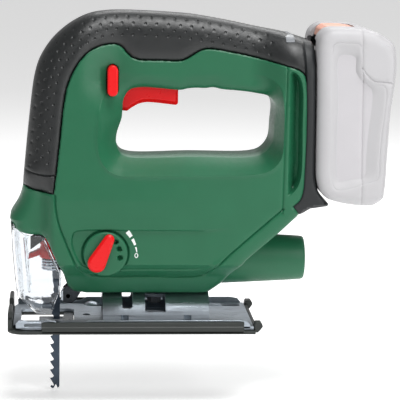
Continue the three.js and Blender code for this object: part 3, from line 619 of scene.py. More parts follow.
def housing_side():
    """The side view with every line and the extra points that the fine shapes need."""
    extra = [
        beside(TOP, [0.12, 0.45, 1.0, 1.8, 2.9, 4.2, 5.8]),
        beside(BAY_REAR, [0.15, 0.6, 1.3, 2.2]),
        beside(NOSE_BOTTOM, [0.15, 0.6, 1.4, 2.4]),
        beside(REAR_SLOPE, [0.15, 0.6, 1.4, 2.6]),
        beside(UNDERSIDE, [0.15, 0.6, 1.4]),
        beside(OPENING, [0.25, 0.8, 1.7, 2.9, 4.3], closed=True),
        beside(OPENING_BEVEL, [0.5, 1.1], closed=True),
        beside(LOCK_HOLE, [0.35, 0.9], closed=True),
        beside(SLOT, [0.4, 0.9, 1.6], closed=True),
        beside(RECESS, [0.5, 1.1], closed=True),
        *[beside(line, [0.3, 0.8]) for line in SEAMS],
        *[circle(x, z, r, count) for x, z in DIMPLES for r, count in ((0.42, 6), (DIMPLE["r"], 8))],
        DIMPLES,
        *[circle(BOSS["x"], BOSS["z"], BOSS["r"] + r, 64) for r in (-0.4, 0.15, 0.9, 1.5)],
    ]
    circles = [circle(x, z, r, 20) for x, z in SCREWS for r in (SCREW_HOLE, SCREW_HOLE - 0.15)]
    loops = [SILHOUETTE, OPENING, LOCK_HOLE, SLOT, RECESS, OPENING_BEVEL, *circles]
    return SideView(loops, SEAMS, np.vstack(extra), 1.6)


def rounded_edge(away, reach, drop):
    """How far a surface falls towards an edge that it rounds over."""
    t = 1 - np.clip(away / reach, 0, 1)
    return drop * (1 - np.sqrt(np.maximum(1 - t * t, 0)))


def groove(away, deep, half=0.55):
    return deep * np.exp(-((away / half) ** 2))


BODY_HALF = 33.0  # half widths of the housing
TOP_HALF = 24.0
HANDLE_HALF = 18.0
NOSE_HALF = 25.0
OPENING_HALF = 15.0  # where the flare round the hand opening starts
# Heights, and the most the half width may be there, so that the base can tilt.
LOWER_EDGE = ([20, 34.2, 42.4, 44, 60], [12.4, 20.5, 32.4, 33.6, 60])
EDGES = (  # outline, how far its rounding reaches in, how much it drops
    (BAY_REAR, 3, 3),
    (BAY_FOOT, 2, 2),
    (REAR_SLOPE, 4, 4),
    (NOSE_BOTTOM, 3.5, 3.5),
    (UNDERSIDE, 2, 2),
)


def plain_half_width(x, z):
    """Half width of the housing's broad shape, before its openings and edges."""
    leaning = BODY_HALF - (BODY_HALF - TOP_HALF) * np.clip((z - 84) / 112, 0, 1)
    width = leaning + (BODY_HALF - leaning) * smooth_step(x, 0, 50)
    handle = smooth_step(z, 136, 160) * smooth_step(x, -38, -8) * (1 - smooth_step(x, 72, 100))
    width += (HANDLE_HALF - width) * handle
    nose = (1 - smooth_step(x, -60, -50.8)) * (1 - smooth_step(z, 84, 108))
    width += (NOSE_HALF - width) * nose
    return np.minimum(width, np.interp(z, *LOWER_EDGE))


def flare_opening(points, width):
    """Draws the half width in round the hand opening: a flare below it, a rolled edge above it."""
    x, z = points[:, 0], points[:, 1]
    opening = distance(points, OPENING, closed=True)
    bevel = distance(points, OPENING_BEVEL, closed=True)
    t = np.where(inside(points, OPENING_BEVEL), opening / np.maximum(opening + bevel, 1e-6), 1)
    under_handle = smooth_step(z, 140, 155) * smooth_step(x, -14, 0) * (1 - smooth_step(x, 68, 84))
    flared = OPENING_HALF + (width - OPENING_HALF) * t * (1.3 - 0.3 * t)
    rolled = width - rounded_edge(opening, 9, 8.5)
    crease = 0.5 * np.exp(-((bevel / 0.8) ** 2)) * (1 - smooth_step(z, 125, 150))
    return flared + (rolled - flared) * under_handle + crease


def round_top(points, width):
    """Rounds the housing over towards its top, more at the front of the grip and above the battery bay."""
    x, z = points[:, 0], points[:, 1]
    rear = smooth_step(x, 60, 98)
    front = 1 - smooth_step(x, -52, -20)
    grip_front = front * smooth_step(z, 96, 110)
    reach = 15 + 6 * rear + 4 * grip_front - 6 * front * (1 - smooth_step(z, 82, 100))
    drop = np.minimum(14 + 6 * rear + 5 * grip_front, width - 3.5)
    return width - rounded_edge(distance(points, TOP), reach, drop)


def near_side_sinks(points):
    """How far the recess round the selector and the seat of its boss sink into the left side."""
    x, z = points[:, 0], points[:, 1]
    recess = smooth_step(distance(points, RECESS, closed=True), 0, 1.3) * (1 - smooth_step(x, 26, 62))
    off = np.hypot(x - BOSS["x"], z - BOSS["z"]) - BOSS["r"]
    seat = np.where(off < 0.2, 1, 1 - smooth_step(off, 0.2, 1.5))
    return np.where(inside(points, RECESS), 1.7 * recess, 0) + 1.4 * seat


def housing_half_width(points, side):
    """Half width of the housing at points of the side view."""
    x, z = points[:, 0], points[:, 1]
    width = round_top(points, flare_opening(points, plain_half_width(x, z)))
    for line, reach, drop in EDGES:
        width = width - rounded_edge(distance(points, line), reach, drop)
    in_grip = inside(points, GRIP_ZONE)
    grip_seam = distance(points, GRIP_LINE)
    width = width - rounded_edge(grip_seam, 8, 2.2) * in_grip
    width = width - groove(grip_seam, 0.8, 0.5)
    width = width - groove(distance(points, GRIP_BAND), 0.9, 0.5) * in_grip
    width = width - groove(distance(points, BAY_LINE), 0.8, 0.5)
    width = width - groove(distance(points, PANEL_GROOVE), 1.2, 0.6)
    width = width - groove(distance(points, POST_GROOVE), 0.8)
    width = width - rounded_edge(distance(points, LOCK_HOLE, closed=True), 0.8, 0.8)

    rearward = smooth_step(np.clip((x - 94) / 9, 0, 1), 0.05, 0.7)
    slot_depth = 9.0 * smooth_step(distance(points, SLOT, closed=True), 0, 1.2) * rearward
    width = width - np.where(inside(points, SLOT), slot_depth, 0)

    gap = ((points[:, None, :] - DIMPLES[None, :, :]) ** 2).sum(2).min(1) ** 0.5
    width = width - DIMPLE["deep"] * np.clip(1 - (gap / DIMPLE["r"]) ** 2, 0, 1) ** 1.5
    if side < 0:
        return width - near_side_sinks(points)
    for hole_x, hole_z in SCREWS:
        width = np.where(np.hypot(x - hole_x, z - hole_z) < SCREW_HOLE - 0.1, SCREW_SEAT, width)
    return width


def housing_middle(points):
    """Half width of what is open in the middle: the passages of the plunger, base clamp and trigger."""
    x, z = points[:, 0], points[:, 1]
    middle = np.full(len(points), 0.15)
    middle[(x < -38) & (z < 66)] = 15.0
    middle[(x > -47.5) & (x < 52) & (z < 27)] = 9.2
    middle[(x > -9.2) & (x < 28) & (z > 130) & (z < 166)] = 8.6
    return middle


CHANNEL = {"flange": 21.5, "flange_x": 107.8, "stem": 16.5, "stem_x": 110.8, "z": 96}


def bay_middle(points):
    """The battery's rail: a T-shaped channel, open upwards and to the rear."""
    x, z = points[:, 0], points[:, 1]
    middle = np.zeros(len(points))
    middle[(x > CHANNEL["flange_x"]) & (z > CHANNEL["z"])] = CHANNEL["flange"]
    middle[(x > CHANNEL["stem_x"]) & (z > CHANNEL["z"])] = CHANNEL["stem"]
    return middle


def build_housing():
    view = housing_side()
    centres, points = view.centres, view.points
    hollow = inside(centres, OPENING) | inside(centres, LOCK_HOLE) | ~inside(centres, SILHOUETTE)
    in_bay = inside(centres, BAY_ZONE) & ~hollow
    in_grip = inside(centres, GRIP_ZONE) & ~in_bay & ~hollow
    in_shell = ~in_bay & ~in_grip & ~hollow
    seams = np.minimum(distance(points, GRIP_LINE), distance(points, BAY_LINE))
    rim = np.minimum(distance(points, SILHOUETTE, closed=True), seams)
    holes = np.minimum(distance(points, OPENING, closed=True), distance(points, LOCK_HOLE, closed=True))
    bay = []
    for side, word in ((-1, "left"), (1, "right")):
        width = housing_half_width(points, side)
        middle = housing_middle(points)
        shell = view.half(in_shell, width, middle, np.minimum(rim, holes), side)
        piece(f"{word}_housing", *shell, "root", "green_plastic", [f"{word}_shell"])
        grip = view.half(in_grip, width, middle, rim, side)
        piece(f"{word}_handle_grip", *grip, "root", "soft_grip", [f"{word}_grip"])
        solid_rim = np.zeros(len(points))
        bay.append(view.half(in_bay, width, bay_middle(points), solid_rim, side))
    piece("battery_bay", *gathered(*bay), "root", "black_plastic", ["bay_frame"])


def surface_at(points):
    """Half width of the left side at any points, for parts that lie on it."""
    return housing_half_width(np.asarray(points, float), -1)


# ---------- controls ----------
SELECTOR = {"x": -24.4, "z": 45.1, "reach": 16.9, "angle": 63.0, "wide": 5.7, "narrow": 3.2}


def teardrop(grow=0.0):
    """The selector's outline: a wide round end at its pivot and a narrow one at its tip."""
    a = math.radians(SELECTOR["angle"])
    tip = (SELECTOR["x"] + SELECTOR["reach"] * math.cos(a), SELECTOR["z"] + SELECTOR["reach"] * math.sin(a))
    ends = []
    for (x, z), r, start, stop, count in (
        ((SELECTOR["x"], SELECTOR["z"]), SELECTOR["wide"] + grow, 82, 278, 18),
        (tip, SELECTOR["narrow"] + grow, -82, 82, 12),
    ):
        turn = np.radians(np.linspace(start, stop, count)) + a
        ends.append(np.stack([x + r * np.cos(turn), z + r * np.sin(turn)], 1))
    return np.vstack(ends)


PIT = {"places": [(-12.6, 58.2), (-10.3, 53.8), (-9.8, 48.2)], "r": 1.6, "deep": 3.2}


def build_boss():
    """The round boss under the selector, with its detent pits and a rounded rim."""
    rim, foot, count = 1.2, 28.0, 96
    turn = np.linspace(0.25, 1.57, 6)
    rings = [*np.linspace(0.4, BOSS["r"] - rim, 22), *(BOSS["r"] - rim * (1 - np.sin(turn)))]
    points = [[BOSS["x"], -BOSS["top"], BOSS["z"]]]
    for r in rings:
        over = max(0, r - (BOSS["r"] - rim))
        level = BOSS["top"] - rim + math.sqrt(max(rim * rim - over * over, 0))
        for x, z in circle(BOSS["x"], BOSS["z"], r, count):
            away = [math.hypot(x - a, z - b) / PIT["r"] for a, b in PIT["places"]]
            sink = sum(PIT["deep"] * max(0, 1 - t * t) ** 0.5 for t in away)
            points.append([x, sink - level, z])
    points += [[x, -foot, z] for x, z in circle(BOSS["x"], BOSS["z"], rings[-1], count)]
    faces = [[0, 1 + k, 1 + (k + 1) % count] for k in range(count)]
    faces += [[i + 1 for i in f[::-1]] for f in bands(len(rings) + 1, count)]
    faces.append(list(range(len(points) - count, len(points)))[::-1])
    piece("dial_boss", points, faces, "root", "green_plastic", ["left_shell"])


def arc_band(inner, outer_start, outer_end, from_angle, to_angle, steps=8):
    """A flat arc about the selector's pivot that widens from its lower end to its upper end."""
    turn = np.radians(np.linspace(from_angle, to_angle, steps))
    return [
        np.stack([SELECTOR["x"] + r * np.cos(turn), SELECTOR["z"] + r * np.sin(turn)], 1)
        for r in (inner, np.linspace(outer_start, outer_end, steps))
    ]


def printed(low, high):
    """A thin printed strip between two rows of points, lying on the left side of the housing."""
    flat = np.vstack([low, high])
    count, total = len(low), 2 * len(low)
    level = surface_at(flat)
    points = np.vstack([np.stack([flat[:, 0], -(level + out), flat[:, 1]], 1) for out in (0.1, -0.3)])
    faces = []
    for i in range(count - 1):
        front = [i, i + count, i + count + 1, i + 1]
        faces += [front, [k + total for k in front[::-1]]]
        faces.append([i, i + 1, i + 1 + total, i + total])
        faces.append([i + count, i + count + total, i + count + 1 + total, i + count + 1])
    for i in (0, count - 1):
        faces += turned([[i, i + total, i + count + total, i + count]], i == 0)
    return points, faces


def build_scale():
    arcs = [(25.7, 26.2, 26.7, 13.5, 21), (25.7, 27.0, 27.6, 24, 33), (25.7, 27.9, 28.6, 36.5, 45.5)]
    strips = gathered(*[printed(*arc_band(*arc)) for arc in arcs])
    piece("dial_scale", *strips, "root", "green_plastic", materials=["dial_print"])
    turn = np.linspace(0, 2 * math.pi, 25)
    inner, outer = (
        np.stack([0.5 + wide * np.cos(turn), 49.1 + tall * np.sin(turn)], 1)
        for wide, tall in ((0.7, 1.1), (1.15, 1.55))
    )
    piece("dial_zero", *printed(inner, outer), "root", "green_plastic", materials=["dial_print"])


def build_controls():
    levels = [(teardrop(-1.3), -39), (teardrop(), -37.6), (teardrop(), -BOSS["top"] - 0.3)]
    lever = piece("selector_handle", *layered(levels, "y"), "selector", "red_plastic", ["selector_lever"])
    soften(lever, 0.3)
    trigger = [(-8.3, 137.5), (-5.2, 137.2), (-2.6, 139.2), (1.4, 141.6), (4.2, 142.5), (7, 142.9),
               (11, 142.8), (15.1, 142.4), (25.8, 141.2), (27.1, 142.2), (27.1, 160), (-9, 160), (-9, 150)]
    raised = [(min(x, 25.2), z + 2.6 if z < 150 else z) for x, z in trigger]
    levels = [(raised, -8.0), (trigger, -5.4), (trigger, 5.4), (raised, 8.0)]
    soften(piece("trigger_key", *layered(levels, "y"), "trigger", "red_plastic", ["trigger"]), 0.5)
    bar = prism(pill(LOCK["x"], LOCK["z"], LOCK["half"], LOCK["tall"], 12), "y", -LOCK["end"], LOCK["end"])
    soften(piece("lock_button", *bar, "lock", "red_plastic", ["lock_bar"]), 1.2, 4)
    build_boss()
    build_scale()


def build_lens():
    """The charge lamp's window, which follows the rounded top of the housing."""
    foot = 182.4
    spots = np.stack([np.full(8, 95.8), np.linspace(186.9, 183.0, 8)], 1)
    half = housing_half_width(spots, -1) + 0.35
    row = [(-y, z + 0.15) for y, z in zip(half, spots[:, 1])][::-1]
    top = [(y, 187.25) for y in np.linspace(-half[0] + 1.5, half[0] - 1.5, 5)]
    outline = [(-half[-1] + 4, foot), *row, *top, *[(-y, z) for y, z in row[::-1]], (half[-1] - 4, foot)]
    window = prism(outline, "x", 93.0, 98.4)
    soften(piece("lamp_window", *window, "root", "lens_plastic", ["status_lens"]), 0.3)


# ---------- saw head ----------
PLUNGER_X = -50.5
ROLLER = {"x": -42.0, "z": 17.5, "r": 4.9, "half": 3.1}
BLADE = {"back": -47.2, "gullet": -51.4, "tips": -53.4, "top": 49.4, "tip": -44.8, "pitch": 5.6, "half": 0.6}


def build_blade():
    """T-shank blade: hooked teeth that point up, and a notched tip."""
    back, gullet, tips, top, tip, pitch, half = BLADE.values()
    first_tooth = 18
    outline = [(back - 2.2, tip + 2.6), (back - 1.2, tip + 0.2), (back - 0.1, tip + 1.4), (back, 0)]
    shank = [(0, -6), (0.4, -4), (0.4, -2), (-1.4, -2), (-1.4, 0), (-5, 0), (-5, -2), (-6.4, -2), (-6.4, -4),
             (-5.6, -6)]
    outline += [(back + x, top + z) for x, z in shank] + [(gullet, 21)]
    tooth = [(gullet + 0.5, 1.3), (gullet - 0.5, 0.35), (tips, 0), (gullet - 0.6, -2.4), (gullet + 0.2, -3.6)]
    for i in range(int((first_tooth - tip) / pitch)):
        outline += [(x, z + first_tooth - i * pitch) for x, z in tooth]
    notched = [(2.5, 1.6), (0.5, 2.0), (0.3, 1.1), (1.4, 0), (2.6, 0.6), (3.4, 2.6)]
    outline += [(tips + x, tip + z) for x, z in notched]
    blade = piece("jigsaw_blade", *prism(outline, "y", -half, half), "plunger", "blade_steel", ["saw_blade"])
    soften(blade, 0.12, 1)


def helix(radius, z0, z1, turns, steps=20):
    t = np.linspace(0, 2 * math.pi * turns, int(turns * steps))
    return np.stack([PLUNGER_X + radius * np.cos(t), radius * np.sin(t), np.linspace(z0, z1, len(t))], 1)


def build_clamp():
    """The ribbed clamp, its spring, and the release collar with its arm."""
    ribs = [(38, 3.9)]
    for i in range(6):
        ribs += [(38.2 + i * 2.9 + up, r) for up, r in ((0, 6.5), (0.3, 7.0), (1.7, 7.0), (2.0, 6.4))]
    ribs += [(56, 6.4), (56, 5.4), (49.8, 5.4), (49.8, 3.9)]
    piece("clamp_sleeve", *lathe(ribs, "z", PLUNGER_X, 0), "plunger", "dark_steel", ["blade_clamp"])
    coil = sweep(helix(7.9, 34.2, 46.0, 6.5), 0.72)
    piece("torsion_spring", *coil, "plunger", "bright_steel", ["clamp_spring"])
    collar = [(46.2, 7.3), (46.2, 9.0), (42.4, 9.0), (42.2, 9.7), (46.6, 9.9), (47.0, 9.6), (49.0, 9.6),
              (49.6, 9.0), (50.4, 9.0), (51.0, 9.6), (54.6, 9.4), (56.2, 8.4), (56.2, 7.3)]
    arm = [(-67.6, 41.2), (-66.9, 44.6), (-59.0, 48.2), (-56.4, 52.8), (-55.2, 52.8), (-55.2, 46.6),
           (-58.4, 44.4)]
    parts = gathered(lathe(collar, "z", PLUNGER_X, 0, 48), prism(arm, "y", -3.1, 3.1))
    soften(piece("release_key", *parts, "release", "red_plastic", ["release_lever"]), 0.45, 2, 40)


def build_roller():
    r, half = ROLLER["r"], ROLLER["half"]
    wheel = [(-half, 1.7), (-half, r - 0.4), (-half + 0.4, r), (-0.75, r), (-0.55, r - 0.9)]
    wheel += [(-level, radius) for level, radius in wheel[::-1]]
    roller = lathe(wheel, "y", ROLLER["x"], ROLLER["z"])
    piece("grooved_roller", *roller, "roller", "bright_steel", ["guide_roller"])
    outline = [(-45.2, 13.6), (-43.4, 12.9), (-39.4, 12.8), (-37.2, 14.6), (-34, 20), (-31, 38),
               (-29.2, 50), (-30.2, 53.6), (-32.6, 54.9), (-35.4, 53.6), (-37, 51), (-38.2, 38),
               (-38.9, 27), (-42.4, 24.4), (-45.2, 21.8)]
    arm = piece("roller_fork", *prism(outline, "y", -5.4, 5.4), "roller_arm", "dark_steel", ["roller_lever"])
    soften(carve(arm, block(-50, -30, -half - 0.3, half + 0.3, 0, 29)), 0.5)


# ---------- base ----------
def plate_outline(front, rear, half, corner, steps=8):
    """A plate seen from above with two rounded front corners."""
    turn = np.radians(np.linspace(90, 180, steps))
    a = [(front + corner + corner * math.cos(t), half - corner + corner * math.sin(t)) for t in turn]
    b = [(x, -y) for x, y in a[::-1]]
    return [(rear, -half), (rear, half), *a, *b]


def rounded_box(x0, x1, y0, y1, r, steps=5):
    """A rectangle with four rounded corners."""
    centres = ((x1 - r, y1 - r), (x0 + r, y1 - r), (x0 + r, y0 + r), (x1 - r, y0 + r))
    made = []
    for quarter, (x, y) in enumerate(centres):
        turn = np.radians(np.linspace(90 * quarter, 90 * (quarter + 1), steps + 1))
        made += [(x + r * math.cos(t), y + r * math.sin(t)) for t in turn]
    return made


def hole(x, r, low, high, count=24, core=0.0):
    """A round cutter up through the base at x, from its core's radius out."""
    return lathe([(low, core), (low, r), (high, r), (high, core)], "z", x, 0, count)


def on_side(outline, side, y0, y1):
    """An outline drawn in (x, z) pushed from y0 to y1 on one side of the tool."""
    return prism(outline, "y", *sorted((side * y0, side * y1)))


WINDOW = (-72, -38, -17, 17)
FLANGE = {"half": 35.5, "wall": 1.2, "top": 8.3}
SCREW_X = 13.5  # the base clamp screw


def build_base_plate():
    outline = plate_outline(-76.5, 75, FLANGE["half"], 10)
    plate = piece("pressed_base", *prism(outline, "z", 2.3, 4.3), "base", "pressed_steel", ["base_plate"])
    slots = [rounded_box(x - 6, x + 6, y - 2.4, y + 2.4, 2.3) for x in (-22, 66) for y in (-27, 27)]
    window, *slots = [prism(flat, "z", 0, 9) for flat in (rounded_box(*WINDOW, 3), *slots)]
    soften(carve(plate, window, hole(-30, 2.5, 0, 9, 20), hole(SCREW_X, 5.5, 0, 9), *slots), 0.35)
    top = FLANGE["top"]
    wall = [(-74.6, 3.2), (-74.9, 6.4), (-73.4, 8.2), (-69.5, top), (-66.5, 7.5), (-57.5, 7.5), (-54.5, 8.2),
            (-51, 8.2), (-48.4, 6.6), (-37, 5.9), (-33, 6.4), (-29.5, top), (66, top), (71, 7.4), (73, 5.2),
            (73, 2.8)]
    for side, word in ((-1, "near"), (1, "far")):
        flange = on_side(wall, side, FLANGE["half"], FLANGE["half"] - FLANGE["wall"])
        flange = piece(f"{word}_flange", *flange, "base", "pressed_steel", ["base_plate"])
        slot = rounded_box(-69.5, -58.5, 4.0, 6.2, 1.0)
        soften(carve(flange, on_side(slot, side, FLANGE["half"] - 4, FLANGE["half"] + 4)), 0.3)
    dome = [(4.2, 0.01), (4.2, 5.0), (4.6, 4.7), (5.2, 4.1), (5.8, 3.1), (6.2, 2.0), (6.2, 0.01)]
    pressed = [lathe(dome, "z", -26.5, y, 36) for y in (-30, 30)]
    pressed += [prism(rounded_box(-12, 60, y - 2, y + 2, 1.9), "z", 4.2, 4.9) for y in (-28, 28)]
    soften(piece("pressed_domes", *gathered(*pressed), "base", "pressed_steel", ["base_plate"]), 0.3)


def arch(x0, x1, from_angle, to_angle, r0, r1, step=4):
    """A curved strip about the tilt axis, from x0 to x1."""
    count = int(round((to_angle - from_angle) / step)) + 1
    turn = np.radians(np.linspace(from_angle, to_angle, count))
    outer, inner = (np.stack([r * np.cos(turn), r * np.sin(turn)], 1) for r in (r1, r0))
    return prism(np.vstack([outer, inner[::-1]]), "x", x0, x1)


def build_bracket():
    foot = 12.4
    band = arch(-20, 48, foot, 180 - foot, 20.3, 22.5)
    band = piece("bevel_arches", *band, "base", "pressed_steel", ["bevel_bracket"])
    gap = prism([(-30, 10.2), (30, 10.2), (30, 40), (-30, 40)], "x", 7, 20)
    slots = [on_side(rounded_box(-7.6, -1.0, 12.2, 30, 1.6), side, 2, 40) for side in (-1, 1)]
    notches = [prism(rounded_box(x - 2.4, x + 2.4, -28, -19.8, 1.0), "z", 2, 8.4) for x in (-6, 34)]
    soften(carve(band, gap, *slots, *notches), 0.35)
    feet = []
    for side in (-1, 1):
        for x0, x1 in ((-18, 6), (22, 46)):
            feet.append(prism(rounded_box(x0, x1, *sorted((side * 21.0, side * 30.0)), 2), "z", 4.2, 5.3))
    soften(piece("bracket_feet", *gathered(*feet), "base", "pressed_steel", ["bevel_bracket"]), 0.3)


def build_shoe():
    """The overshoe: a sole with fine grooves, side rails, rear clips and a raised front lip."""
    outline = plate_outline(-79.9, 76, 39, 10)
    sole = piece("slip_shoe", *prism(outline, "z", 0, 2), "base", "shoe_plastic", ["overshoe"])
    grooves = [rounded_box(-66, 70, y - 0.8, y + 0.8, 0.7) for y in (-31, -24.5, 24.5, 31)]
    grooves = [prism(flat, "z", -1, 0.5) for flat in grooves]
    soften(carve(sole, prism(rounded_box(*WINDOW, 2), "z", -2, 9), *grooves), 0.5)
    rail = [(36.3, 0.3), (38.4, 0), (39, 0.6), (39, 4.3), (38.2, 4.9), (38.2, 7), (37.7, 7.5), (36.3, 7.5)]
    clip = [(75.4, 0.4), (77.6, 0.4), (79.2, 2), (80.9, 4.2), (80.5, 5.6), (79.4, 7), (76.2, 7), (75.4, 5.4)]
    lip = [(-79.9, 0.6), (-79.9, 11.8), (-79.2, 13.3), (-77.6, 13.3), (-77, 12.2), (-77, 1)]
    lip_end = [(-79.9, 0.6), (-79.9, 8.2), (-77.2, 8.6), (-76.9, 1)]
    parts = []
    for side in (-1, 1):
        parts.append(prism([(side * y, z) for y, z in rail], "x", -58.7, 68.7))
        parts += [on_side(clip, side, 29, 36), on_side(lip, side, 9.2, 31), on_side(lip_end, side, 31, 33.2)]
    parts.append(prism([(-79.9, 0.6), (-79.9, 5.0), (-77, 5.0), (-77, 0.8)], "y", -9.4, 9.4))
    parts.append(prism([(75.2, 0.4), (77.2, 0.4), (77.6, 3.4), (76.6, 4.2), (75.2, 4.2)], "y", -30, 30))
    soften(piece("shoe_rails", *gathered(*parts), "base", "shoe_plastic", ["overshoe"]), 0.4)


def build_base_small():
    """The splinter insert, and the clamp screw with its curved washer."""
    half = [(-60.5, -5), (-45, -5), (-44.5, -16.7), (-38.3, -16.7)]
    tongue = [*half, *[(x, -y) for x, y in half[::-1]]]
    insert = piece("tear_insert", *prism(tongue, "z", 0, 2), "base", "lens_plastic", ["splinter_guard"])
    soften(carve(insert, prism(rounded_box(-70, -45.5, -3.2, 3.2, 1), "z", -1, 4)), 0.3)
    head = prism(circle(SCREW_X, 0, 4.6, 6), "z", 12.6, 16.4)
    thread = [(16.0, 0.01)]
    for k in range(20):
        thread += [(16.2 + k * 1.05 + up, r) for up, r in ((0, 2.3), (0.4, 2.6), (0.7, 2.6))]
    thread += [(38, 2.2), (38, 0.01)]
    bolt = gathered(head, lathe(thread, "z", SCREW_X, 0, 24))
    soften(piece("clamp_bolt", *bolt, "root", "dark_steel", ["clamp_screw"]), 0.3, 2, 50)
    clamp = piece("clamp_saddle", *arch(2, 25, 74, 106, 17.4, 19.9), "root", "bright_steel", ["clamp_plate"])
    soften(carve(clamp, hole(SCREW_X, 2.9, 10, 25, core=0.01)), 0.3)


# ---------- chip guard ----------
GUARD_FRONT = ([5.8, 14.9, 15.6, 20.3, 60, 67.6], [-63.2, -71.8, -74.4, -74.9, -78.4, -79.2])
GUARD_REAR = ([7.1, 23.6, 33.3, 59.2], [-52.3, -47.2, -46.3, -58.2])
GUARD_HALF = ([5, 14, 20.5, 28.2, 36, 70], [6.5, 8, 12.5, 17.4, 20, 20])
GUARD_TOP = ([-79.2, -69.2, -58.4], [67.4, 59.6, 58.8])
GUARD_WALL = 1.5


def guard_shape(z, inset=0.0):
    """Front, rear and half width of the guard at a height."""
    return np.interp(z, *GUARD_FRONT) + inset, np.interp(z, *GUARD_REAR), np.interp(z, *GUARD_HALF) - inset


def guard_ring(z, inset, top_shift, corner=6.0):
    """The guard's U-shaped section at a height, from its far rear edge round the front to the near one."""
    front, rear, half = guard_shape(z, inset)
    corner = min(corner - inset * 0.6, half - 0.5)
    turn = np.radians(np.linspace(90, 180, 9))
    bend = [(front + corner + corner * math.cos(t), half - corner + corner * math.sin(t)) for t in turn]
    side = [(x, half) for x in np.linspace(rear, bend[0][0], 6, endpoint=False)] + bend
    made = []
    for x, y in side + [(x, -y) for x, y in side[::-1]]:
        top = np.interp(x, *GUARD_TOP)
        made.append((x, y, min(z, top) if z < 55 else z + (top - z) * top_shift))
    return made


def build_guard():
    """The clear guard: an outer and an inner skin, joined along their edges, with beads down its corners."""
    levels = [6.0, 7.4, 9.5, 12, 15, 18, 21, 25, 30, 36, 43, 50, 56, 60]
    shift = [0] * 12 + [0.5, 1.0]
    outer = [guard_ring(z, 0, s) for z, s in zip(levels, shift)]
    inner = [guard_ring(z + (GUARD_WALL if z < 12 else 0), GUARD_WALL, s) for z, s in zip(levels, shift)]
    rows, count = len(levels), len(outer[0])
    skin = rows * count
    faces = []
    for start in range(0, skin - count, count):
        for a in range(start, start + count - 1):
            quad = [a, a + 1, a + count + 1, a + count]
            faces += [quad, [i + skin for i in quad[::-1]]]
        for a, kept in ((start, True), (start + count - 1, False)):
            faces += turned([[a, a + count, a + count + skin, a + skin]], kept)
    for start, kept in ((0, True), (skin - count, False)):
        faces += turned([[a, a + skin, a + skin + 1, a + 1] for a in range(start, start + count - 1)], kept)
    points = np.vstack(outer + inner)
    guard = piece("clear_guard", points, faces, "guard", "clear_plastic", ["chip_guard"])
    shade(guard.data, 50)

    beads = []
    for side in (-1, 1):
        edge = [guard_shape(z)[1:] + (z,) for z in np.linspace(9, 57.5, 26)]
        beads.append(sweep([(rear - 0.6, side * (half - 1.25), z) for rear, half, z in edge], 0.85, 8))
    ribs = [(2.3, lambda half: 0.2, 1)]
    ribs += [(2.3, lambda half: half * 0.62, side) for side in (-1, 1)]
    ribs += [(8.5, lambda half: half - 1.6, side) for side in (-1, 1)]
    for back, across, side in ribs:
        path = []
        for z in np.linspace(22, 58, 20):
            front, _, half = guard_shape(z)
            path.append((front + back, side * across(half), z))
        beads.append(sweep(path, 0.7, 8))
    piece("guard_edge_beads", *gathered(*beads), "guard", "clear_plastic", ["chip_guard"])


def build_arm_shadow():
    """A dark plate inside the guard, just above the release key's arm: painted shadow of that arm."""
    outline = [(-65.9, 49.8), (-58.4, 55.2), (-57, 57), (-57, 62), (-60, 62), (-65.9, 58)]
    # painted shadow: a thin black plate set where the release arm's shade falls
    shadow_plate = piece("painted_arm_shadow", *prism(outline, "y", -15.4, -13.4), "root", "black_plastic", ["left_shell"])
    soften(shadow_plate, 0.4)


# ---------- dust port, screws, battery contacts ----------
def build_small_parts():
    tube = [(57, 14.6), (57, 16.6), (80, 15.6), (100, 14.6), (107.4, 14.1), (108.8, 13.8), (109.5, 13.3),
            (109.7, 12.7), (109.7, 12.2), (109.2, 11.7), (97, 12.2)]
    piece("dust_spout", *lathe(tube, "x", 0, 42, 64), "root", "green_plastic", ["dust_port"])
    screw = [(-13, 0.01), (-13, 1.3), (-12, 1.5), (12.4, 1.5), (12.4, 2.9), (14.6, 3.0), (15.2, 2.4),
             (15.4, 1.5), (14.0, 1.4), (14.0, 0.01)]
    for number, (x, z) in enumerate(SCREWS, 1):
        node = f"housing_screw_{number}"
        piece(f"shell_screw_{number}", *lathe(screw, "y", x, z, 24), "root", "dark_steel", [node])
    holder = block(109.3, 113.6, -15, 15, 96.3, 104.5)
    points, faces = gathered(holder, *[block(110.4, 111.2, y - 2.5, y + 2.5, 104, 114) for y in (-9, 0, 9)])
    is_blade = np.arange(len(faces)) >= len(holder[1])
    contacts = piece("contact_block", points, faces, "root", "brass_contact", ["terminal_block"],
                     ["black_plastic", "brass_contact"], is_blade)
    soften(contacts, 0.25)


# ---------- battery pack ----------
PACK = curve(
    [(111.8, 182.4), (111.8, 168), (112.2, 146), (112.5, 112), (113.0, 98.3), (115.2, 91.0), (119.6, 86.2),
     (127, 83.6), (140.0, 81.6), (150.5, 81.9), (156.4, 85), (157.8, 92), (158.8, 116), (160.2, 142),
     (162.4, 160), (162.6, 174), (160.6, 183), (151.5, 189), (141, 192.0), (126, 192.8), (118.4, 192.2),
     (113.6, 188.2)],
    closed=True,
)
PACK_SEAM = straight([(138.9, 200), (139.2, 168), (140.2, 160), (141, 96), (141, 70)])
WING = curve(
    [(139.2, 168.5), (140.4, 166.6), (145.4, 161.4), (148, 160.4), (156, 159.6), (162, 158.4), (168, 157.6)]
)
PANEL_OUT = curve(
    [(121.4, 183), (120.4, 172), (121.4, 130), (121.6, 99), (124.6, 92.4), (131, 92.4), (141, 95.4),
     (150.6, 99.2), (151.6, 112), (152.4, 126), (154.6, 154), (153, 157.4), (144.2, 159.8), (138.4, 166.4),
     (137.6, 182.6), (130, 184)],
    closed=True,
)
PANEL_IN = curve(
    [(125, 175.6), (124.9, 150), (125.6, 99.5), (127, 97), (134, 98.2), (142.4, 100.2), (143.4, 112),
     (144.2, 126), (146.4, 150), (145.6, 155.4), (140, 160), (135.6, 166), (135, 175), (130, 176.6)],
    closed=True,
)


PACK_HALF = 38.0
PACK_WALL = 1.8
PANEL_SUNK = 2.6


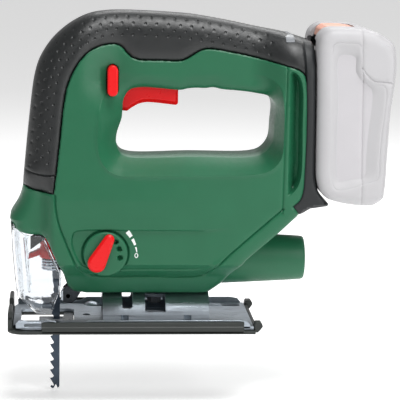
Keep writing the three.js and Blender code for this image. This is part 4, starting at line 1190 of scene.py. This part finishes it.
def pack_half_width(points):
    """Half width of the battery at points of the side view."""
    away = distance(points, PACK, closed=True)
    panel_in = distance(points, PANEL_IN, closed=True)
    panel_out = distance(points, PANEL_OUT, closed=True)
    slope = np.where(inside(points, PANEL_OUT), panel_out / np.maximum(panel_out + panel_in, 1e-6), 0)
    width = PACK_HALF - rounded_edge(away, 6.5, 6.5)
    width -= rounded_edge(away, 4.5, 15) * smooth_step(points[:, 0], 148, 156)
    width -= PANEL_SUNK * np.where(inside(points, PANEL_IN), 1, slope)
    width -= groove(panel_out, 0.5, 0.45)
    width -= groove(distance(points, PACK_SEAM), 0.5, 0.4)
    return width - groove(distance(points, WING), 0.8, 0.6)


def pack_middle(points):
    """Half width of what is open in the middle: the rail's room and the button's pocket."""
    x, z = points[:, 0], points[:, 1]
    middle = np.zeros(len(points))
    middle[(x < 117.6) & (z > 95)] = 21.6
    middle[(x < 138.2) & (z > 184.2)] = 13.4
    return middle


def build_battery():
    extra = [beside(loop, offsets, closed=True) for loop, offsets in (
        (PACK, [0.15, 0.6, 1.4, 2.5, 4.2]), (PANEL_IN, [0.4, 1.2]), (PANEL_OUT, [0.4, 1.2])
    )]
    extra += [beside(PACK_SEAM, [0.3, 0.7]), beside(WING, [0.3, 0.8])]
    view = SideView([PACK, PANEL_OUT, PANEL_IN], [PACK_SEAM, WING], np.vstack(extra), 2.2)
    whole = inside(view.centres, PACK)
    in_front = whole & inside(view.centres, np.vstack([PACK_SEAM, [(90, 70), (90, 200)]]))
    in_panel = inside(view.centres, PANEL_IN)
    width, middle = pack_half_width(view.points), pack_middle(view.points)
    rim = np.minimum(distance(view.points, PACK, closed=True), distance(view.points, PACK_SEAM))
    for chosen, word in ((in_front, "front"), (whole & ~in_front, "rear")):
        halves = [view.half(chosen, width, middle, rim, side, PACK_WALL) for side in (-1, 1)]
        darker = in_panel[chosen]
        owner = np.hstack([np.pad(darker, (0, len(faces) - len(darker))) for _, faces in halves])
        piece(f"pack_{word}", *gathered(*halves), "battery", "pack_plastic", [f"pack_{word}_case"],
              ["pack_plastic", "pack_panel"], owner)
    rails = gathered(block(110.9, 118, -16.2, 16.2, 106, 178), block(109.3, 110.5, -21.2, 21.2, 106, 178))
    soften(piece("pack_rail", *rails, "battery", "pack_plastic", ["pack_front_case"]), 0.4)
    button = [(115.0, 185.6), (119, 184.6), (121.4, 187), (137.5, 187), (137.5, 191.9), (130, 192.9),
              (119.4, 192.9), (116.4, 190.6)]
    key = prism(button, "y", -13, 13)
    soften(piece("pack_release", *key, "pack_button", "pack_button_plastic", ["pack_button"]), 0.9, 3)


build_housing()
build_controls()
build_lens()
build_blade()
build_clamp()
build_roller()
build_base_plate()
build_bracket()
build_shoe()
build_base_small()
build_guard()
build_arm_shadow()
build_small_parts()
build_battery()


# ---------- camera, floor and light ----------
CAMERA_TURN = (-4.4, 9.3, 0.9)  # azimuth, elevation and roll in degrees
CAMERA_FAR = 1200
CAMERA_LENS, CAMERA_SENSOR = 168, 36
CAMERA_TARGET = (42.4, 0, 79.4)
FLOOR_Z = -46
FLOOR_REACH = 6000


def build_camera():
    azimuth, elevation, roll = (math.radians(a) for a in CAMERA_TURN)
    back = Vector((math.sin(azimuth) * math.cos(elevation), -math.cos(azimuth) * math.cos(elevation),
                   math.sin(elevation)))
    level = Vector((math.cos(azimuth), math.sin(azimuth), 0))
    rise = level.cross(-back)
    right = level * math.cos(roll) + rise * math.sin(roll)
    up = rise * math.cos(roll) - level * math.sin(roll)
    place = (Vector(CAMERA_TARGET) + back * CAMERA_FAR) * MM
    camera = linked("camera", bpy.data.cameras.new("camera"))
    camera.data.lens, camera.data.sensor_width = CAMERA_LENS, CAMERA_SENSOR
    camera.data.clip_start, camera.data.clip_end = 0.05, 20
    rows = [[right[i], up[i], back[i], place[i]] for i in range(3)]
    camera.matrix_world = Matrix([*rows, [0, 0, 0, 1]])
    bpy.context.scene.camera = camera


def build_floor():
    corners = [(FLOOR_REACH * x, FLOOR_REACH * y, FLOOR_Z) for x, y in ((-1, -1), (1, -1), (1, 1), (-1, 1))]
    mesh = mesh_of("floor", corners, [(0, 1, 2, 3)])
    glow = {"Emission_Color": (1, 1, 1, 1), "Emission_Strength": 0.38}
    mesh.materials.append(finish("floor", [0.92, 0.92, 0.92], 0.7, 3, 0.02, 0.01, 0.02, 60, **glow))
    linked("floor", mesh)


def area_light(name, place, target, size, power):
    """A rectangular lamp; places in metres."""
    light = bpy.data.lights.new(name, "AREA")
    light.shape, light.size, light.size_y = "RECTANGLE", size[0], size[1]
    light.energy = power
    obj = linked(name, light)
    obj.location = place
    obj.rotation_mode = "QUATERNION"
    obj.rotation_quaternion = (Vector(target) - Vector(place)).to_track_quat("-Z", "Y")


def build_light():
    world = bpy.data.worlds.new("studio")
    world.use_nodes = True
    world.node_tree.nodes["Background"].inputs["Color"].default_value = (1, 1, 1, 1)
    world.node_tree.nodes["Background"].inputs["Strength"].default_value = 0.33
    bpy.context.scene.world = world
    centre = (0.04, 0, 0.09)
    area_light("top", (0.25, -0.35, 1.25), centre, (0.9, 0.4), 15)
    area_light("key", (-0.75, -1.0, 0.75), centre, (0.25, 0.8), 1.4)
    area_light("fill", (0.4, -0.48, 0.3), (0.1, 0, 0.11), (0.2, 0.35), 1.35)
    area_light("back", (0.3, 0.9, 0.9), centre, (0.9, 0.5), 5)
    bpy.context.scene.view_settings.view_transform = "Standard"


build_camera()
build_floor()
build_light()

bpy.context.view_layer.update()
